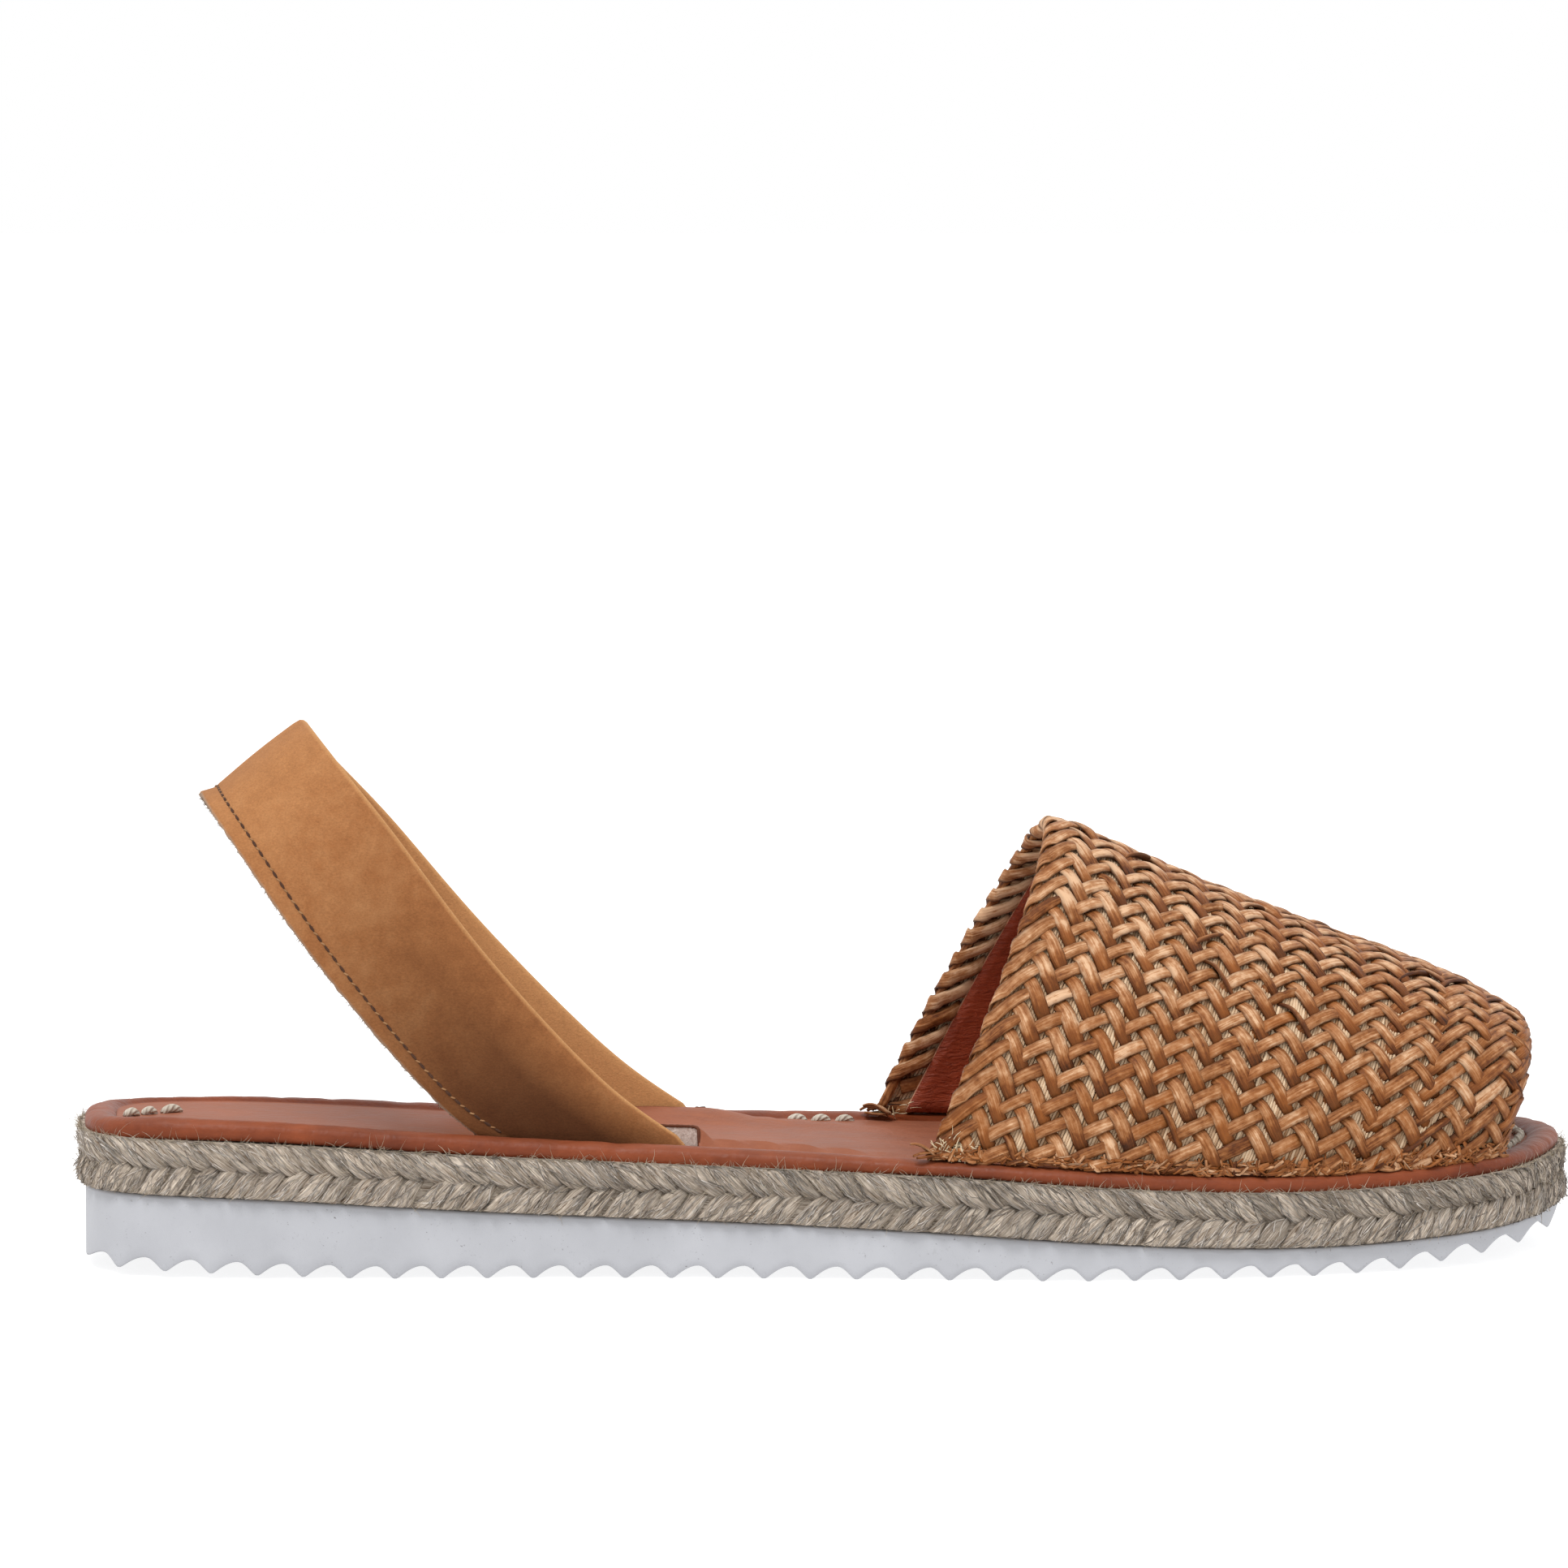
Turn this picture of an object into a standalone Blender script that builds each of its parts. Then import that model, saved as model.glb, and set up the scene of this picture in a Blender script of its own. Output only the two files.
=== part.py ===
"""Right woven slingback sandal on a jute-trimmed foam sole.

The tables are in millimetres: x runs from the back of the heel to the toe, y from the outer
(lateral, negative) to the inner (medial, positive) side of the foot, and z up from the floor.
The model itself is in metres, with its origin under the middle of the sole.
"""
import math

import bmesh
import bpy
import numpy as np

MM = 0.001
GAP = 0.3                  # clearance between pieces that touch

# Plan of the sole: one row for each section across the foot
HEEL_END = (0.0, -2.5)
TOE_END = (256.0, 9.8)
PLAN = [
    # x, lateral_y, medial_y
    (2, -17.0, 13.5),
    (9, -24.8, 22.0),
    (24, -29.0, 27.0),
    (45, -30.5, 28.8),
    (75, -32.0, 28.3),
    (105, -35.0, 29.5),
    (140, -40.5, 36.0),
    (168, -44.5, 42.0),
    (195, -43.0, 43.8),
    (220, -37.2, 40.2),
    (240, -26.5, 34.3),
    (252, -7.0, 26.5),
]
PLAN_POINTS = 72
FINE_POINTS = 720
CURVE_STEPS = 40           # readings between two given points of a curve

# Underside of the sole (rocker at the heel, toe spring) and deck that carries the jute band
UNDERSIDE = [
    # x, z
    (0, 1.6),
    (18, 1.1),
    (34, 0.5),
    (48, 0.0),
    (208, 0.0),
    (220, 0.5),
    (236, 2.1),
    (256, 4.0),
]
DECK = [
    # x, z
    (0, 13.9),
    (30, 13.0),
    (60, 11.2),
    (95, 9.6),
    (130, 8.2),
    (165, 6.2),
    (200, 4.6),
    (225, 5.1),
    (256, 7.2),
]
DECK_STEP = 12.0

# Saw-tooth tread
TOOTH_PITCH = 7.62
TOOTH_FIRST = 6.4
TOOTH_LAND = 1.2
TOOTH_RISE = 4.7
TOOTH_DEPTH = 2.0
TREAD_INSET = 1.2
PROFILE_REACH = 20.0       # how far the side profile runs past both ends of the plan
PROFILE_HALF_WIDTH = 70.0

# Jute band: section as distance in from the plan and height above its own foot
BAND_THICK = 4.8
BAND_HEIGHT = 9.4
CORE_SINK = 1.0            # how deep the core starts in the deck
BAND = [
    # inset, height
    (BAND_THICK, 0.0),
    (BAND_THICK, BAND_HEIGHT),
    (1.6, BAND_HEIGHT),
    (0.0, 7.5),
    (0.3, 5.7),
    (1.5, 4.7),
    (0.3, 3.7),
    (0.0, 1.9),
    (1.6, 0.0),
]

# Leather insole: rolled rim, then the sunk footbed
RIM_CREST = 2.2
RIM = [
    # inset, height
    (1.9, 0.0),
    (1.2, 0.8),
    (1.6, 1.7),
    (3.2, RIM_CREST),
    (5.0, 2.0),
    (6.2, 1.5),
]

# Heel strap: folded leather, from the centre of the back to one foot
STRAP_THICK = 2.6
STRAP_FOLD = 1.3
STRAP_MIDDLE_Y = -1.9
STRAP_STEPS = 18
MEDIAL_FORWARD = 4.6       # the medial foot stands this far ahead of the lateral one
MEDIAL_ARM = [
    # share, ahead
    (0.00, 0.0),
    (0.20, -1.2),
    (0.42, -0.4),
    (0.70, 2.4),
    (1.00, MEDIAL_FORWARD),
]
STRAP = [
    # side_y, lower_x, lower_z, upper_x, upper_z
    (0.0, 22.2, 77.4, 38.9, 90.9),
    (12.5, 23.6, 75.4, 40.9, 88.6),
    (21.6, 28.9, 67.8, 46.3, 81.9),
    (24.8, 36.0, 57.4, 54.0, 72.0),
    (24.8, 45.0, 45.6, 65.4, 57.2),
    (24.6, 54.8, 34.0, 78.6, 42.2),
    (24.0, 61.4, 27.3, 89.8, 30.6),
    (23.4, 66.6, 23.1, 99.6, 23.0),
]
STRAP_FOOT_X = (68.6, 102.4)
SLOT_SIDE = 0.4
SLOT_BACK = 2.8
SLOT_FRONT = 3.0
SLOT_SPAN = (10.0, 40.0)   # heights between which the slots are cut

# Woven upper: base line on the rim from throat to toe, ridge over the foot
VAMP_THROAT_X = 140.3
VAMP_INSET = 3.7
COLUMN_COUNT = 12
COLUMN_FIRST = 7.5
COLUMN_LAST = 9.15
COLUMN_SPLIT = 0.55
ROW_PITCH = 4.5
STRIP_RAISE = 0.7
STRIP_EDGE = 0.42
VAMP_WALL = 1.5
FRAY_HEIGHT = 2.2
FRAY_REACH = 1.7
ROW_SNAP = 0.9
VAMP = [
    # share, ridge_x, ridge_z, ridge_y, fullness
    (0.00, 165.7, 73.1, 1.0, 1.80),
    (0.33, 192.6, 61.5, 2.5, 1.92),
    (0.66, 219.7, 51.0, 4.5, 2.10),
    (0.92, 241.9, 41.6, 6.5, 2.25),
    (1.00, 247.9, 37.6, 7.0, 2.30),
]
FOOT_SHIFT = [
    # share, lateral, medial
    (0.00, 1.3, -1.0),
    (0.16, 0.0, 0.0),
    (1.00, 0.0, 0.0),
]
ARCH_POINTS = 241
NORMAL_STEP = 0.5          # run over which the direction of an arch is read

# Finishes: colour, roughness
SHARP_ANGLE = math.radians(40)
FINISH = {
    "outsole": ((0.60, 0.60, 0.63), 0.75),
    "jute_band": ((0.42, 0.33, 0.22), 0.95),
    "insole": ((0.37, 0.10, 0.035), 0.50),
    "vamp": ((0.55, 0.28, 0.11), 0.60),
    "heel_strap": ((0.45, 0.20, 0.075), 0.80),
}


def smooth(at, rows):
    """Natural cubic through (x, value) rows."""
    x = np.array([row[0] for row in rows], float)
    y = np.array([row[1] for row in rows], float)
    count = len(x)
    step = np.diff(x)
    matrix = np.eye(count)
    right = np.zeros(count)
    for i in range(1, count - 1):
        matrix[i, i - 1:i + 2] = (step[i - 1], 2 * (step[i - 1] + step[i]), step[i])
        right[i] = 6 * ((y[i + 1] - y[i]) / step[i] - (y[i] - y[i - 1]) / step[i - 1])
    bend = np.linalg.solve(matrix, right)
    at = np.clip(np.asarray(at, float), x[0], x[-1])
    i = np.clip(np.searchsorted(x, at) - 1, 0, count - 2)
    before = at - x[i]
    after = x[i + 1] - at
    cubic = (bend[i] * after ** 3 + bend[i + 1] * before ** 3) / (6 * step[i])
    low = (y[i] / step[i] - bend[i] * step[i] / 6) * after
    high = (y[i + 1] / step[i] - bend[i + 1] * step[i] / 6) * before
    return cubic + low + high


def straight(at, rows):
    """Straight lines through (x, value) rows."""
    return np.interp(at, [row[0] for row in rows], [row[1] for row in rows])


def closed_curve(points, count):
    """Smooth closed curve through the points, read at equal steps along it."""
    points = np.array(points, float)
    dense = []
    total = len(points)
    for i in range(total):
        four = [points[(i + k - 1) % total] for k in range(4)]
        knots = [0.0]
        for k in range(3):
            knots.append(knots[-1] + math.sqrt(np.linalg.norm(four[k + 1] - four[k])))
        for t in np.linspace(knots[1], knots[2], CURVE_STEPS, endpoint=False):
            level = list(four)
            for span in (1, 2):
                blend = []
                for k in range(len(level) - 1):
                    first = knots[k]
                    last = knots[k + span]
                    blend.append(((last - t) * level[k] + (t - first) * level[k + 1]) / (last - first))
                level = blend
            dense.append(((knots[2] - t) * level[0] + (t - knots[1]) * level[1]) / (knots[2] - knots[1]))
    dense = np.array(dense + [dense[0]])
    run = np.concatenate([[0.0], np.cumsum(np.linalg.norm(np.diff(dense, axis=0), axis=1))])
    at = np.linspace(0.0, run[-1], count, endpoint=False)
    return np.column_stack([np.interp(at, run, dense[:, axis]) for axis in range(2)])


def plan_curve(count):
    lateral = [(x, lateral_y) for x, lateral_y, medial_y in PLAN]
    medial = [(x, medial_y) for x, lateral_y, medial_y in reversed(PLAN)]
    return closed_curve([HEEL_END] + lateral + [TOE_END] + medial, count)


def inset_curve(curve, distance):
    """The curve moved in along its own normals."""
    along = np.roll(curve, -1, axis=0) - np.roll(curve, 1, axis=0)
    along /= np.linalg.norm(along, axis=1)[:, None]
    outward = np.column_stack([along[:, 1], -along[:, 0]])
    return curve - outward * distance


PLAN_CURVE = plan_curve(PLAN_POINTS)
FINE_CURVE = plan_curve(FINE_POINTS)
CENTRE = (PLAN_CURVE.min(axis=0) + PLAN_CURVE.max(axis=0)) / 2


def plan_side(x, inset, lateral):
    """y of the inset plan at x, on the lateral or the medial side."""
    curve = inset_curve(FINE_CURVE, inset)
    toe = int(np.argmax(curve[:, 0]))
    part = curve[:toe + 1] if lateral else curve[:toe - 1:-1]
    return float(np.interp(x, part[:, 0], part[:, 1]))


def deck(x):
    return smooth(x, DECK)


def core_top(x):
    return deck(x) + GAP + BAND_HEIGHT


def insole_base(x):
    return core_top(x) + GAP


def to_frame(points):
    """Millimetres from the heel to metres from the middle of the sole."""
    points = np.asarray(points, float)
    return (points - (CENTRE[0], CENTRE[1], 0.0)) * MM


def material(name):
    colour, roughness = FINISH[name]
    surface = bpy.data.materials.new(name)
    surface.use_nodes = True
    shader = surface.node_tree.nodes["Principled BSDF"]
    shader.inputs["Base Color"].default_value = (*colour, 1.0)
    shader.inputs["Roughness"].default_value = roughness
    shader.inputs["Metallic"].default_value = 0.0
    return surface


def add_object(name, points, faces, finish=True):
    mesh = bpy.data.meshes.new(name)
    mesh.from_pydata([tuple(p) for p in to_frame(points)], [], faces)
    mesh.validate()
    mesh.update()
    piece = bpy.data.objects.new(name, mesh)
    bpy.context.scene.collection.objects.link(piece)
    if finish:
        mesh.materials.append(material(name))
        mesh.shade_smooth()
        mesh.set_sharp_from_angle(angle=SHARP_ANGLE)
    return piece


def cap_faces(start, count, up):
    """Strips across a ring of points, from the heel to the toe."""
    faces = [(start, start + 1, start + count - 1)]
    half = count // 2
    for k in range(1, half - 1):
        faces.append((start + k, start + k + 1, start + count - k - 1, start + count - k))
    faces.append((start + half - 1, start + half, start + half + 1))
    return faces if up else [tuple(reversed(face)) for face in faces]


def band_faces(lower, upper, count):
    return [(lower + k, lower + (k + 1) % count, upper + (k + 1) % count, upper + k) for k in range(count)]


def ring(curve, inset, base, height):
    """A ring of points at a distance in from the curve and a height over the base function."""
    flat = inset_curve(curve, inset)
    return np.column_stack([flat, base(flat[:, 0]) + height])


def ring_solid(rings):
    """Closed solid through a stack of rings, with a cap on the first and the last."""
    count = len(rings[0])
    faces = cap_faces(0, count, up=False)
    for level in range(len(rings) - 1):
        faces += band_faces(level * count, (level + 1) * count, count)
    faces += cap_faces((len(rings) - 1) * count, count, up=True)
    return np.vstack(rings), faces


def cut(piece, tool, operation):
    """Boolean with a hidden tool object, kept as a modifier."""
    tool.hide_render = True
    tool.display_type = "WIRE"
    modifier = piece.modifiers.new(operation.lower(), "BOOLEAN")
    modifier.operation = operation
    modifier.solver = "EXACT"
    modifier.object = tool


def side_profile():
    """Side view of the sole: toothed underside from heel to toe, then the deck back to the heel."""
    under = [(-PROFILE_REACH, float(straight(0, UNDERSIDE)))]
    tip = TOOTH_FIRST - TOOTH_PITCH
    while tip < TOE_END[0] + TOOTH_PITCH:
        for ahead, rise in ((0.0, 0.0), (TOOTH_LAND, 0.0), (TOOTH_RISE, TOOTH_DEPTH)):
            under.append((tip + ahead, float(straight(tip + ahead, UNDERSIDE)) + rise))
        tip += TOOTH_PITCH
    under.append((under[-1][0] + PROFILE_REACH, under[-1][1]))
    top = [(under[-1][0], float(deck(TOE_END[0])))]
    for x in np.arange(TOE_END[0], -1.0, -DECK_STEP):
        top.append((x, float(deck(x))))
    top.append((-PROFILE_REACH, float(deck(0))))
    return under + top


def build_outsole():
    profile = side_profile()
    count = len(profile)
    sides = (-PROFILE_HALF_WIDTH, PROFILE_HALF_WIDTH)
    points = [(x, side, z) for side in sides for x, z in profile]
    faces = [tuple(range(count)), tuple(range(2 * count - 1, count - 1, -1))]
    faces += [(k, k + count, (k + 1) % count + count, (k + 1) % count) for k in range(count)]
    piece = add_object("outsole", points, faces)
    plan = ring_solid([
        ring(PLAN_CURVE, TREAD_INSET, deck, -PROFILE_REACH),
        ring(PLAN_CURVE, TREAD_INSET, deck, PROFILE_REACH),
    ])
    cut(piece, add_object("outsole_plan", *plan, finish=False), "INTERSECT")
    core_inset = BAND_THICK + GAP
    core = ring_solid([
        ring(PLAN_CURVE, core_inset, deck, -CORE_SINK),
        ring(PLAN_CURVE, core_inset, core_top, 0.0),
    ])
    cut(piece, add_object("outsole_core", *core, finish=False), "UNION")


def build_jute_band():
    rings = [ring(PLAN_CURVE, inset, deck, GAP + height) for inset, height in BAND]
    faces = []
    for level in range(len(rings)):
        after = (level + 1) % len(rings)
        faces += band_faces(after * PLAN_POINTS, level * PLAN_POINTS, PLAN_POINTS)
    add_object("jute_band", np.vstack(rings), faces)


def strap_row(share):
    """Strap table read smoothly at a share of the way from the back (0) to the foot (1)."""
    places = np.linspace(0.0, 1.0, len(STRAP))
    return [float(smooth(share, list(zip(places, column)))) for column in zip(*STRAP)]


def medial_forward(share):
    """How far ahead the medial arm stands at a share of its way to the foot."""
    return float(smooth(share, MEDIAL_ARM))


def strap_arm(direction):
    """Lower and upper edge points of one arm; direction is -1 for lateral and 1 for medial."""
    arm = []
    for step in range(STRAP_STEPS + 1):
        share = step / STRAP_STEPS
        ahead = medial_forward(share) if direction > 0 else 0.0
        side, lower_x, lower_z, upper_x, upper_z = strap_row(share)
        y = STRAP_MIDDLE_Y + direction * side
        arm.append(((lower_x + ahead, y, lower_z), (upper_x + ahead, y, upper_z)))
    arm.append(tuple((x, arm[-1][0][1], float(insole_base(x)) + GAP) for x in strap_foot(direction)))
    return arm


def strap_foot(direction):
    """Back and front end of one foot of the strap."""
    return [x + (MEDIAL_FORWARD if direction > 0 else 0.0) for x in STRAP_FOOT_X]


def strap_stations():
    """Edge points from the lateral foot, round the back, to the medial foot."""
    stations = strap_arm(-1)[::-1] + strap_arm(1)[1:]
    return [(np.array(low), np.array(high)) for low, high in stations]


def build_heel_strap():
    stations = strap_stations()
    centres = np.array([(low + high) / 2 for low, high in stations])
    along = np.gradient(centres, axis=0)
    points = []
    for (low, high), forward in zip(stations, along):
        across = (high - low) / np.linalg.norm(high - low)
        outward = np.cross(forward, across)
        outward *= STRAP_THICK / 2 / np.linalg.norm(outward)
        shoulder = high - across * STRAP_FOLD
        points += [low - outward, low + outward, shoulder + outward, high, shoulder - outward]
    corners = len(points) // len(stations)
    last = (len(stations) - 1) * corners
    faces = [tuple(range(corners)), tuple(last + k for k in reversed(range(corners)))]
    for station in range(len(stations) - 1):
        here = station * corners
        there = here + corners
        for k in range(corners):
            after = (k + 1) % corners
            faces.append((here + k, there + k, there + after, here + after))
    piece = add_object("heel_strap", points, faces)
    face_outward(piece)


def face_outward(piece):
    editor = bmesh.new()
    editor.from_mesh(piece.data)
    bmesh.ops.recalc_face_normals(editor, faces=editor.faces)
    editor.to_mesh(piece.data)
    editor.free()


def build_insole():
    rings = [ring(PLAN_CURVE, inset, insole_base, height) for inset, height in RIM]
    piece = add_object("insole", *ring_solid(rings))
    half = STRAP_THICK / 2 + SLOT_SIDE
    for label, direction in (("lateral", -1), ("medial", 1)):
        middle = STRAP_MIDDLE_Y + direction * STRAP[-1][0]
        back, front = strap_foot(direction)
        back -= SLOT_BACK
        front += SLOT_FRONT
        corners = [(back, -half), (front, -half), (front, half), (back, half)]
        points = [(x, middle + y, z) for z in SLOT_SPAN for x, y in corners]
        faces = [(3, 2, 1, 0), (4, 5, 6, 7)]
        faces += [(k, (k + 1) % 4, (k + 1) % 4 + 4, k + 4) for k in range(4)]
        cut(piece, add_object(f"insole_slot_{label}", points, faces, finish=False), "DIFFERENCE")


class Arch:
    """One section of the woven upper: a leaning arch over the foot, from rim to rim."""

    def __init__(self, base_x):
        reach = COLUMN_COUNT * (COLUMN_FIRST + COLUMN_LAST) / 2
        share = (base_x - VAMP_THROAT_X) / reach
        ridge_x, ridge_z, ridge_y, fullness = (
            float(smooth(share, [(row[0], row[k]) for row in VAMP])) for k in range(1, 5))
        base_z = float(insole_base(base_x)) + RIM_CREST + GAP
        angle = np.linspace(0.0, math.pi, ARCH_POINTS)
        spread = np.sign(np.cos(angle)) * np.abs(np.cos(angle)) ** (2 / fullness)
        height = np.abs(np.sin(angle)) ** (2 / fullness)
        lateral_x, medial_x = (
            base_x + float(straight(share, [(row[0], row[k]) for row in FOOT_SHIFT])) for k in (1, 2))
        lateral = plan_side(lateral_x, VAMP_INSET, True)
        medial = plan_side(medial_x, VAMP_INSET, False)
        side = np.where(spread > 0, lateral, medial)
        foot_x = np.where(spread > 0, lateral_x, medial_x)
        y = ridge_y + (side - ridge_y) * np.abs(spread)
        x = foot_x + (ridge_x - foot_x) * height
        z = base_z + (ridge_z - base_z) * height
        self.line = np.column_stack([x, y, z])
        run = np.concatenate([[0.0], np.cumsum(np.linalg.norm(np.diff(self.line, axis=0), axis=1))])
        self.run = run - run[ARCH_POINTS // 2]
        self.low = float(self.run[0])
        self.high = float(self.run[-1])

    def at(self, run):
        return np.array([np.interp(run, self.run, self.line[:, axis]) for axis in range(3)])


def column_lines():
    """Base x of each half-column line, throat to toe."""
    lines = [VAMP_THROAT_X]
    for column in range(COLUMN_COUNT):
        pitch = COLUMN_FIRST + (COLUMN_LAST - COLUMN_FIRST) * column / (COLUMN_COUNT - 1)
        lines.append(lines[-1] + pitch * COLUMN_SPLIT)
        lines.append(lines[-2] + pitch)
    return lines


def outward_normal(before, here, after, run):
    """Normal of the upper at a run along one arch, from its two neighbours."""
    share = run / (here.high if run > 0 else -here.low)

    def same(arch):
        return arch.at(share * (arch.high if run > 0 else -arch.low))

    forward = same(after) - same(before)
    over = here.at(min(run + NORMAL_STEP, here.high)) - here.at(max(run - NORMAL_STEP, here.low))
    normal = np.cross(forward, over)
    return normal / np.linalg.norm(normal)


class Vamp:
    """Points and faces of the woven upper, outer skin first."""

    def __init__(self):
        lines = column_lines()
        self.arches = [Arch(x) for x in lines]
        self.keys = {}
        self.outer = []
        self.inner = []
        self.faces = []
        self.strips = []
        self.rows = int(max(-self.arches[0].low, self.arches[0].high) / ROW_PITCH) + 3

    def vertex(self, line, run, label):
        """Point on the outer skin and its partner on the inner skin."""
        key = (line, label)
        if key in self.keys:
            return self.keys[key]
        arch = self.arches[line]
        before = self.arches[max(line - 1, 0)]
        after = self.arches[min(line + 1, len(self.arches) - 1)]
        point = arch.at(run)
        normal = outward_normal(before, arch, after, run)
        inside = point - normal * VAMP_WALL
        if label in ("lateral_foot", "medial_foot"):
            flat = np.array([normal[0], normal[1], 0.0])
            flat /= np.linalg.norm(flat)
            inside = point - flat * VAMP_WALL
            point = point + flat * FRAY_REACH
        self.keys[key] = len(self.outer)
        self.outer.append(point)
        self.inner.append(inside)
        return self.keys[key]

    def woven(self, line, row):
        """Crossing of a half-column line and a row; past the frayed edge it is the edge itself."""
        arch = self.arches[line]
        run = (row + 0.5 * (line % 2)) * ROW_PITCH
        if run < arch.low + FRAY_HEIGHT + ROW_SNAP:
            return self.vertex(line, arch.low + FRAY_HEIGHT, "lateral_edge")
        if run > arch.high - FRAY_HEIGHT - ROW_SNAP:
            return self.vertex(line, arch.high - FRAY_HEIGHT, "medial_edge")
        return self.vertex(line, run, row)

    def foot(self, line, side):
        arch = self.arches[line]
        return self.vertex(line, arch.low if side == "lateral_foot" else arch.high, side)

    def add_face(self, corners, strip=False):
        """A face on the outer skin; corners that fall together at the edge count once."""
        loop = [c for k, c in enumerate(corners) if c != corners[k - 1]]
        if len(set(loop)) < 3:
            return
        if strip and len(loop) == 4:
            self.strips.append(len(self.faces))
        self.faces.append(tuple(loop))

    def weave(self):
        """Strips that rise to the toe in the first half of a column, and steep ones in the second."""
        for column in range(COLUMN_COUNT):
            left = 2 * column
            for row in range(-self.rows, self.rows):
                rising = (self.woven(left, row), self.woven(left + 1, row),
                          self.woven(left + 1, row + 1), self.woven(left, row + 1))
                self.add_face(rising, strip=True)
                steep = (self.woven(left + 1, row), self.woven(left + 2, row - 1),
                         self.woven(left + 2, row), self.woven(left + 1, row + 1))
                self.add_face(steep, strip=True)

    def fray(self):
        """The frayed edge on both sides: a skirt that spreads out on to the rim of the insole."""
        for line in range(len(self.arches) - 1):
            after = line + 1
            low = self.woven(line, -self.rows)
            low_after = self.woven(after, -self.rows)
            self.add_face((self.foot(line, "lateral_foot"), self.foot(after, "lateral_foot"), low_after, low))
            high = self.woven(line, self.rows)
            high_after = self.woven(after, self.rows)
            self.add_face((high, high_after, self.foot(after, "medial_foot"), self.foot(line, "medial_foot")))

    def closed(self):
        """Outer skin, inner skin and the edges between them."""
        count = len(self.outer)
        used = set()
        for face in self.faces:
            used.update((face[k - 1], face[k]) for k in range(len(face)))
        faces = list(self.faces)
        faces += [tuple(corner + count for corner in reversed(face)) for face in self.faces]
        for first, last in sorted(used):
            if (last, first) not in used:
                faces.append((last, first, first + count, last + count))
        return np.vstack([self.outer, self.inner]), faces


def raise_strips(piece, strips):
    editor = bmesh.new()
    editor.from_mesh(piece.data)
    editor.faces.ensure_lookup_table()
    faces = [editor.faces[k] for k in strips]
    bmesh.ops.inset_individual(
        editor, faces=faces, thickness=STRIP_EDGE * MM, depth=STRIP_RAISE * MM, use_even_offset=True)
    editor.to_mesh(piece.data)
    editor.free()


def build_vamp():
    vamp = Vamp()
    vamp.weave()
    vamp.fray()
    points, faces = vamp.closed()
    piece = add_object("vamp", points, faces)
    raise_strips(piece, vamp.strips)


def clear_scene():
    for item in list(bpy.data.objects):
        bpy.data.objects.remove(item, do_unlink=True)


clear_scene()
build_outsole()
build_jute_band()
build_insole()
build_heel_strap()
build_vamp()
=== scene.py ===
"""Finishes of the right woven slingback sandal on its jute-trimmed foam sole.

The tables are in millimetres, as in the part's source: x runs from the back of the heel to the toe,
y from the outer (lateral, negative) to the inner (medial, positive) side of the foot, and z up from
the floor.
"""
import math

import bpy
import numpy as np
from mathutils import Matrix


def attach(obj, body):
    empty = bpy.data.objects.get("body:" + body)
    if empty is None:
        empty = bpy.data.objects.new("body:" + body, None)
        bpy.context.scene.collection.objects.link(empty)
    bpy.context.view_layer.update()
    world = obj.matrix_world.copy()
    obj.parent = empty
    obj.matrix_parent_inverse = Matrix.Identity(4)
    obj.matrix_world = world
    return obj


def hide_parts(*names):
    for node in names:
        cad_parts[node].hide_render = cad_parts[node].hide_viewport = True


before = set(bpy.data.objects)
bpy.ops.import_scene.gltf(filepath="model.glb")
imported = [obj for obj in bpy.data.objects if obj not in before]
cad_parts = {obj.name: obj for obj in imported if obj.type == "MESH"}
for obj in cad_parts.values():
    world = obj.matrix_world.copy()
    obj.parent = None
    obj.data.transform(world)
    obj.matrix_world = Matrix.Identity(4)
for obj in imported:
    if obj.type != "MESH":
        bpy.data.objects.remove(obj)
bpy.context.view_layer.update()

MM = 0.001
GAP = 0.3
SEED = 11

# Sole: plan, underside and deck
HEEL_END = (0.0, -2.5)
TOE_END = (256.0, 9.8)
PLAN = [
    # x, lateral_y, medial_y
    (2, -17.0, 13.5),
    (9, -24.8, 22.0),
    (24, -29.0, 27.0),
    (45, -30.5, 28.8),
    (75, -32.0, 28.3),
    (105, -35.0, 29.5),
    (140, -40.5, 36.0),
    (168, -44.5, 42.0),
    (195, -43.0, 43.8),
    (220, -37.2, 40.2),
    (240, -26.5, 34.3),
    (252, -7.0, 26.5),
]
PLAN_POINTS = 72
FINE_POINTS = 1080
CURVE_STEPS = 40
UNDERSIDE = [
    # x, z
    (0, 1.6),
    (18, 1.1),
    (34, 0.5),
    (48, 0.0),
    (208, 0.0),
    (220, 0.5),
    (236, 2.1),
    (256, 4.0),
]
DECK = [
    # x, z
    (0, 13.9),
    (30, 13.0),
    (60, 11.2),
    (95, 9.6),
    (130, 8.2),
    (165, 6.2),
    (200, 4.6),
    (225, 5.1),
    (256, 7.2),
]
TOOTH_PITCH = 7.62
TOOTH_FIRST = 6.4
HEEL_TIP = 0.7             # the short tooth at the back of the heel
TOOTH_LAND = 0.6
TOOTH_RISE = 4.7           # where the hollow behind a tooth's tip is highest
TOOTH_DEPTH = 2.1
TREAD_INSET = 1.2

# Jute band
BAND_THICK = 4.8
BAND_HEIGHT = 9.4
STRAND_PITCH = 3.9

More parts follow.
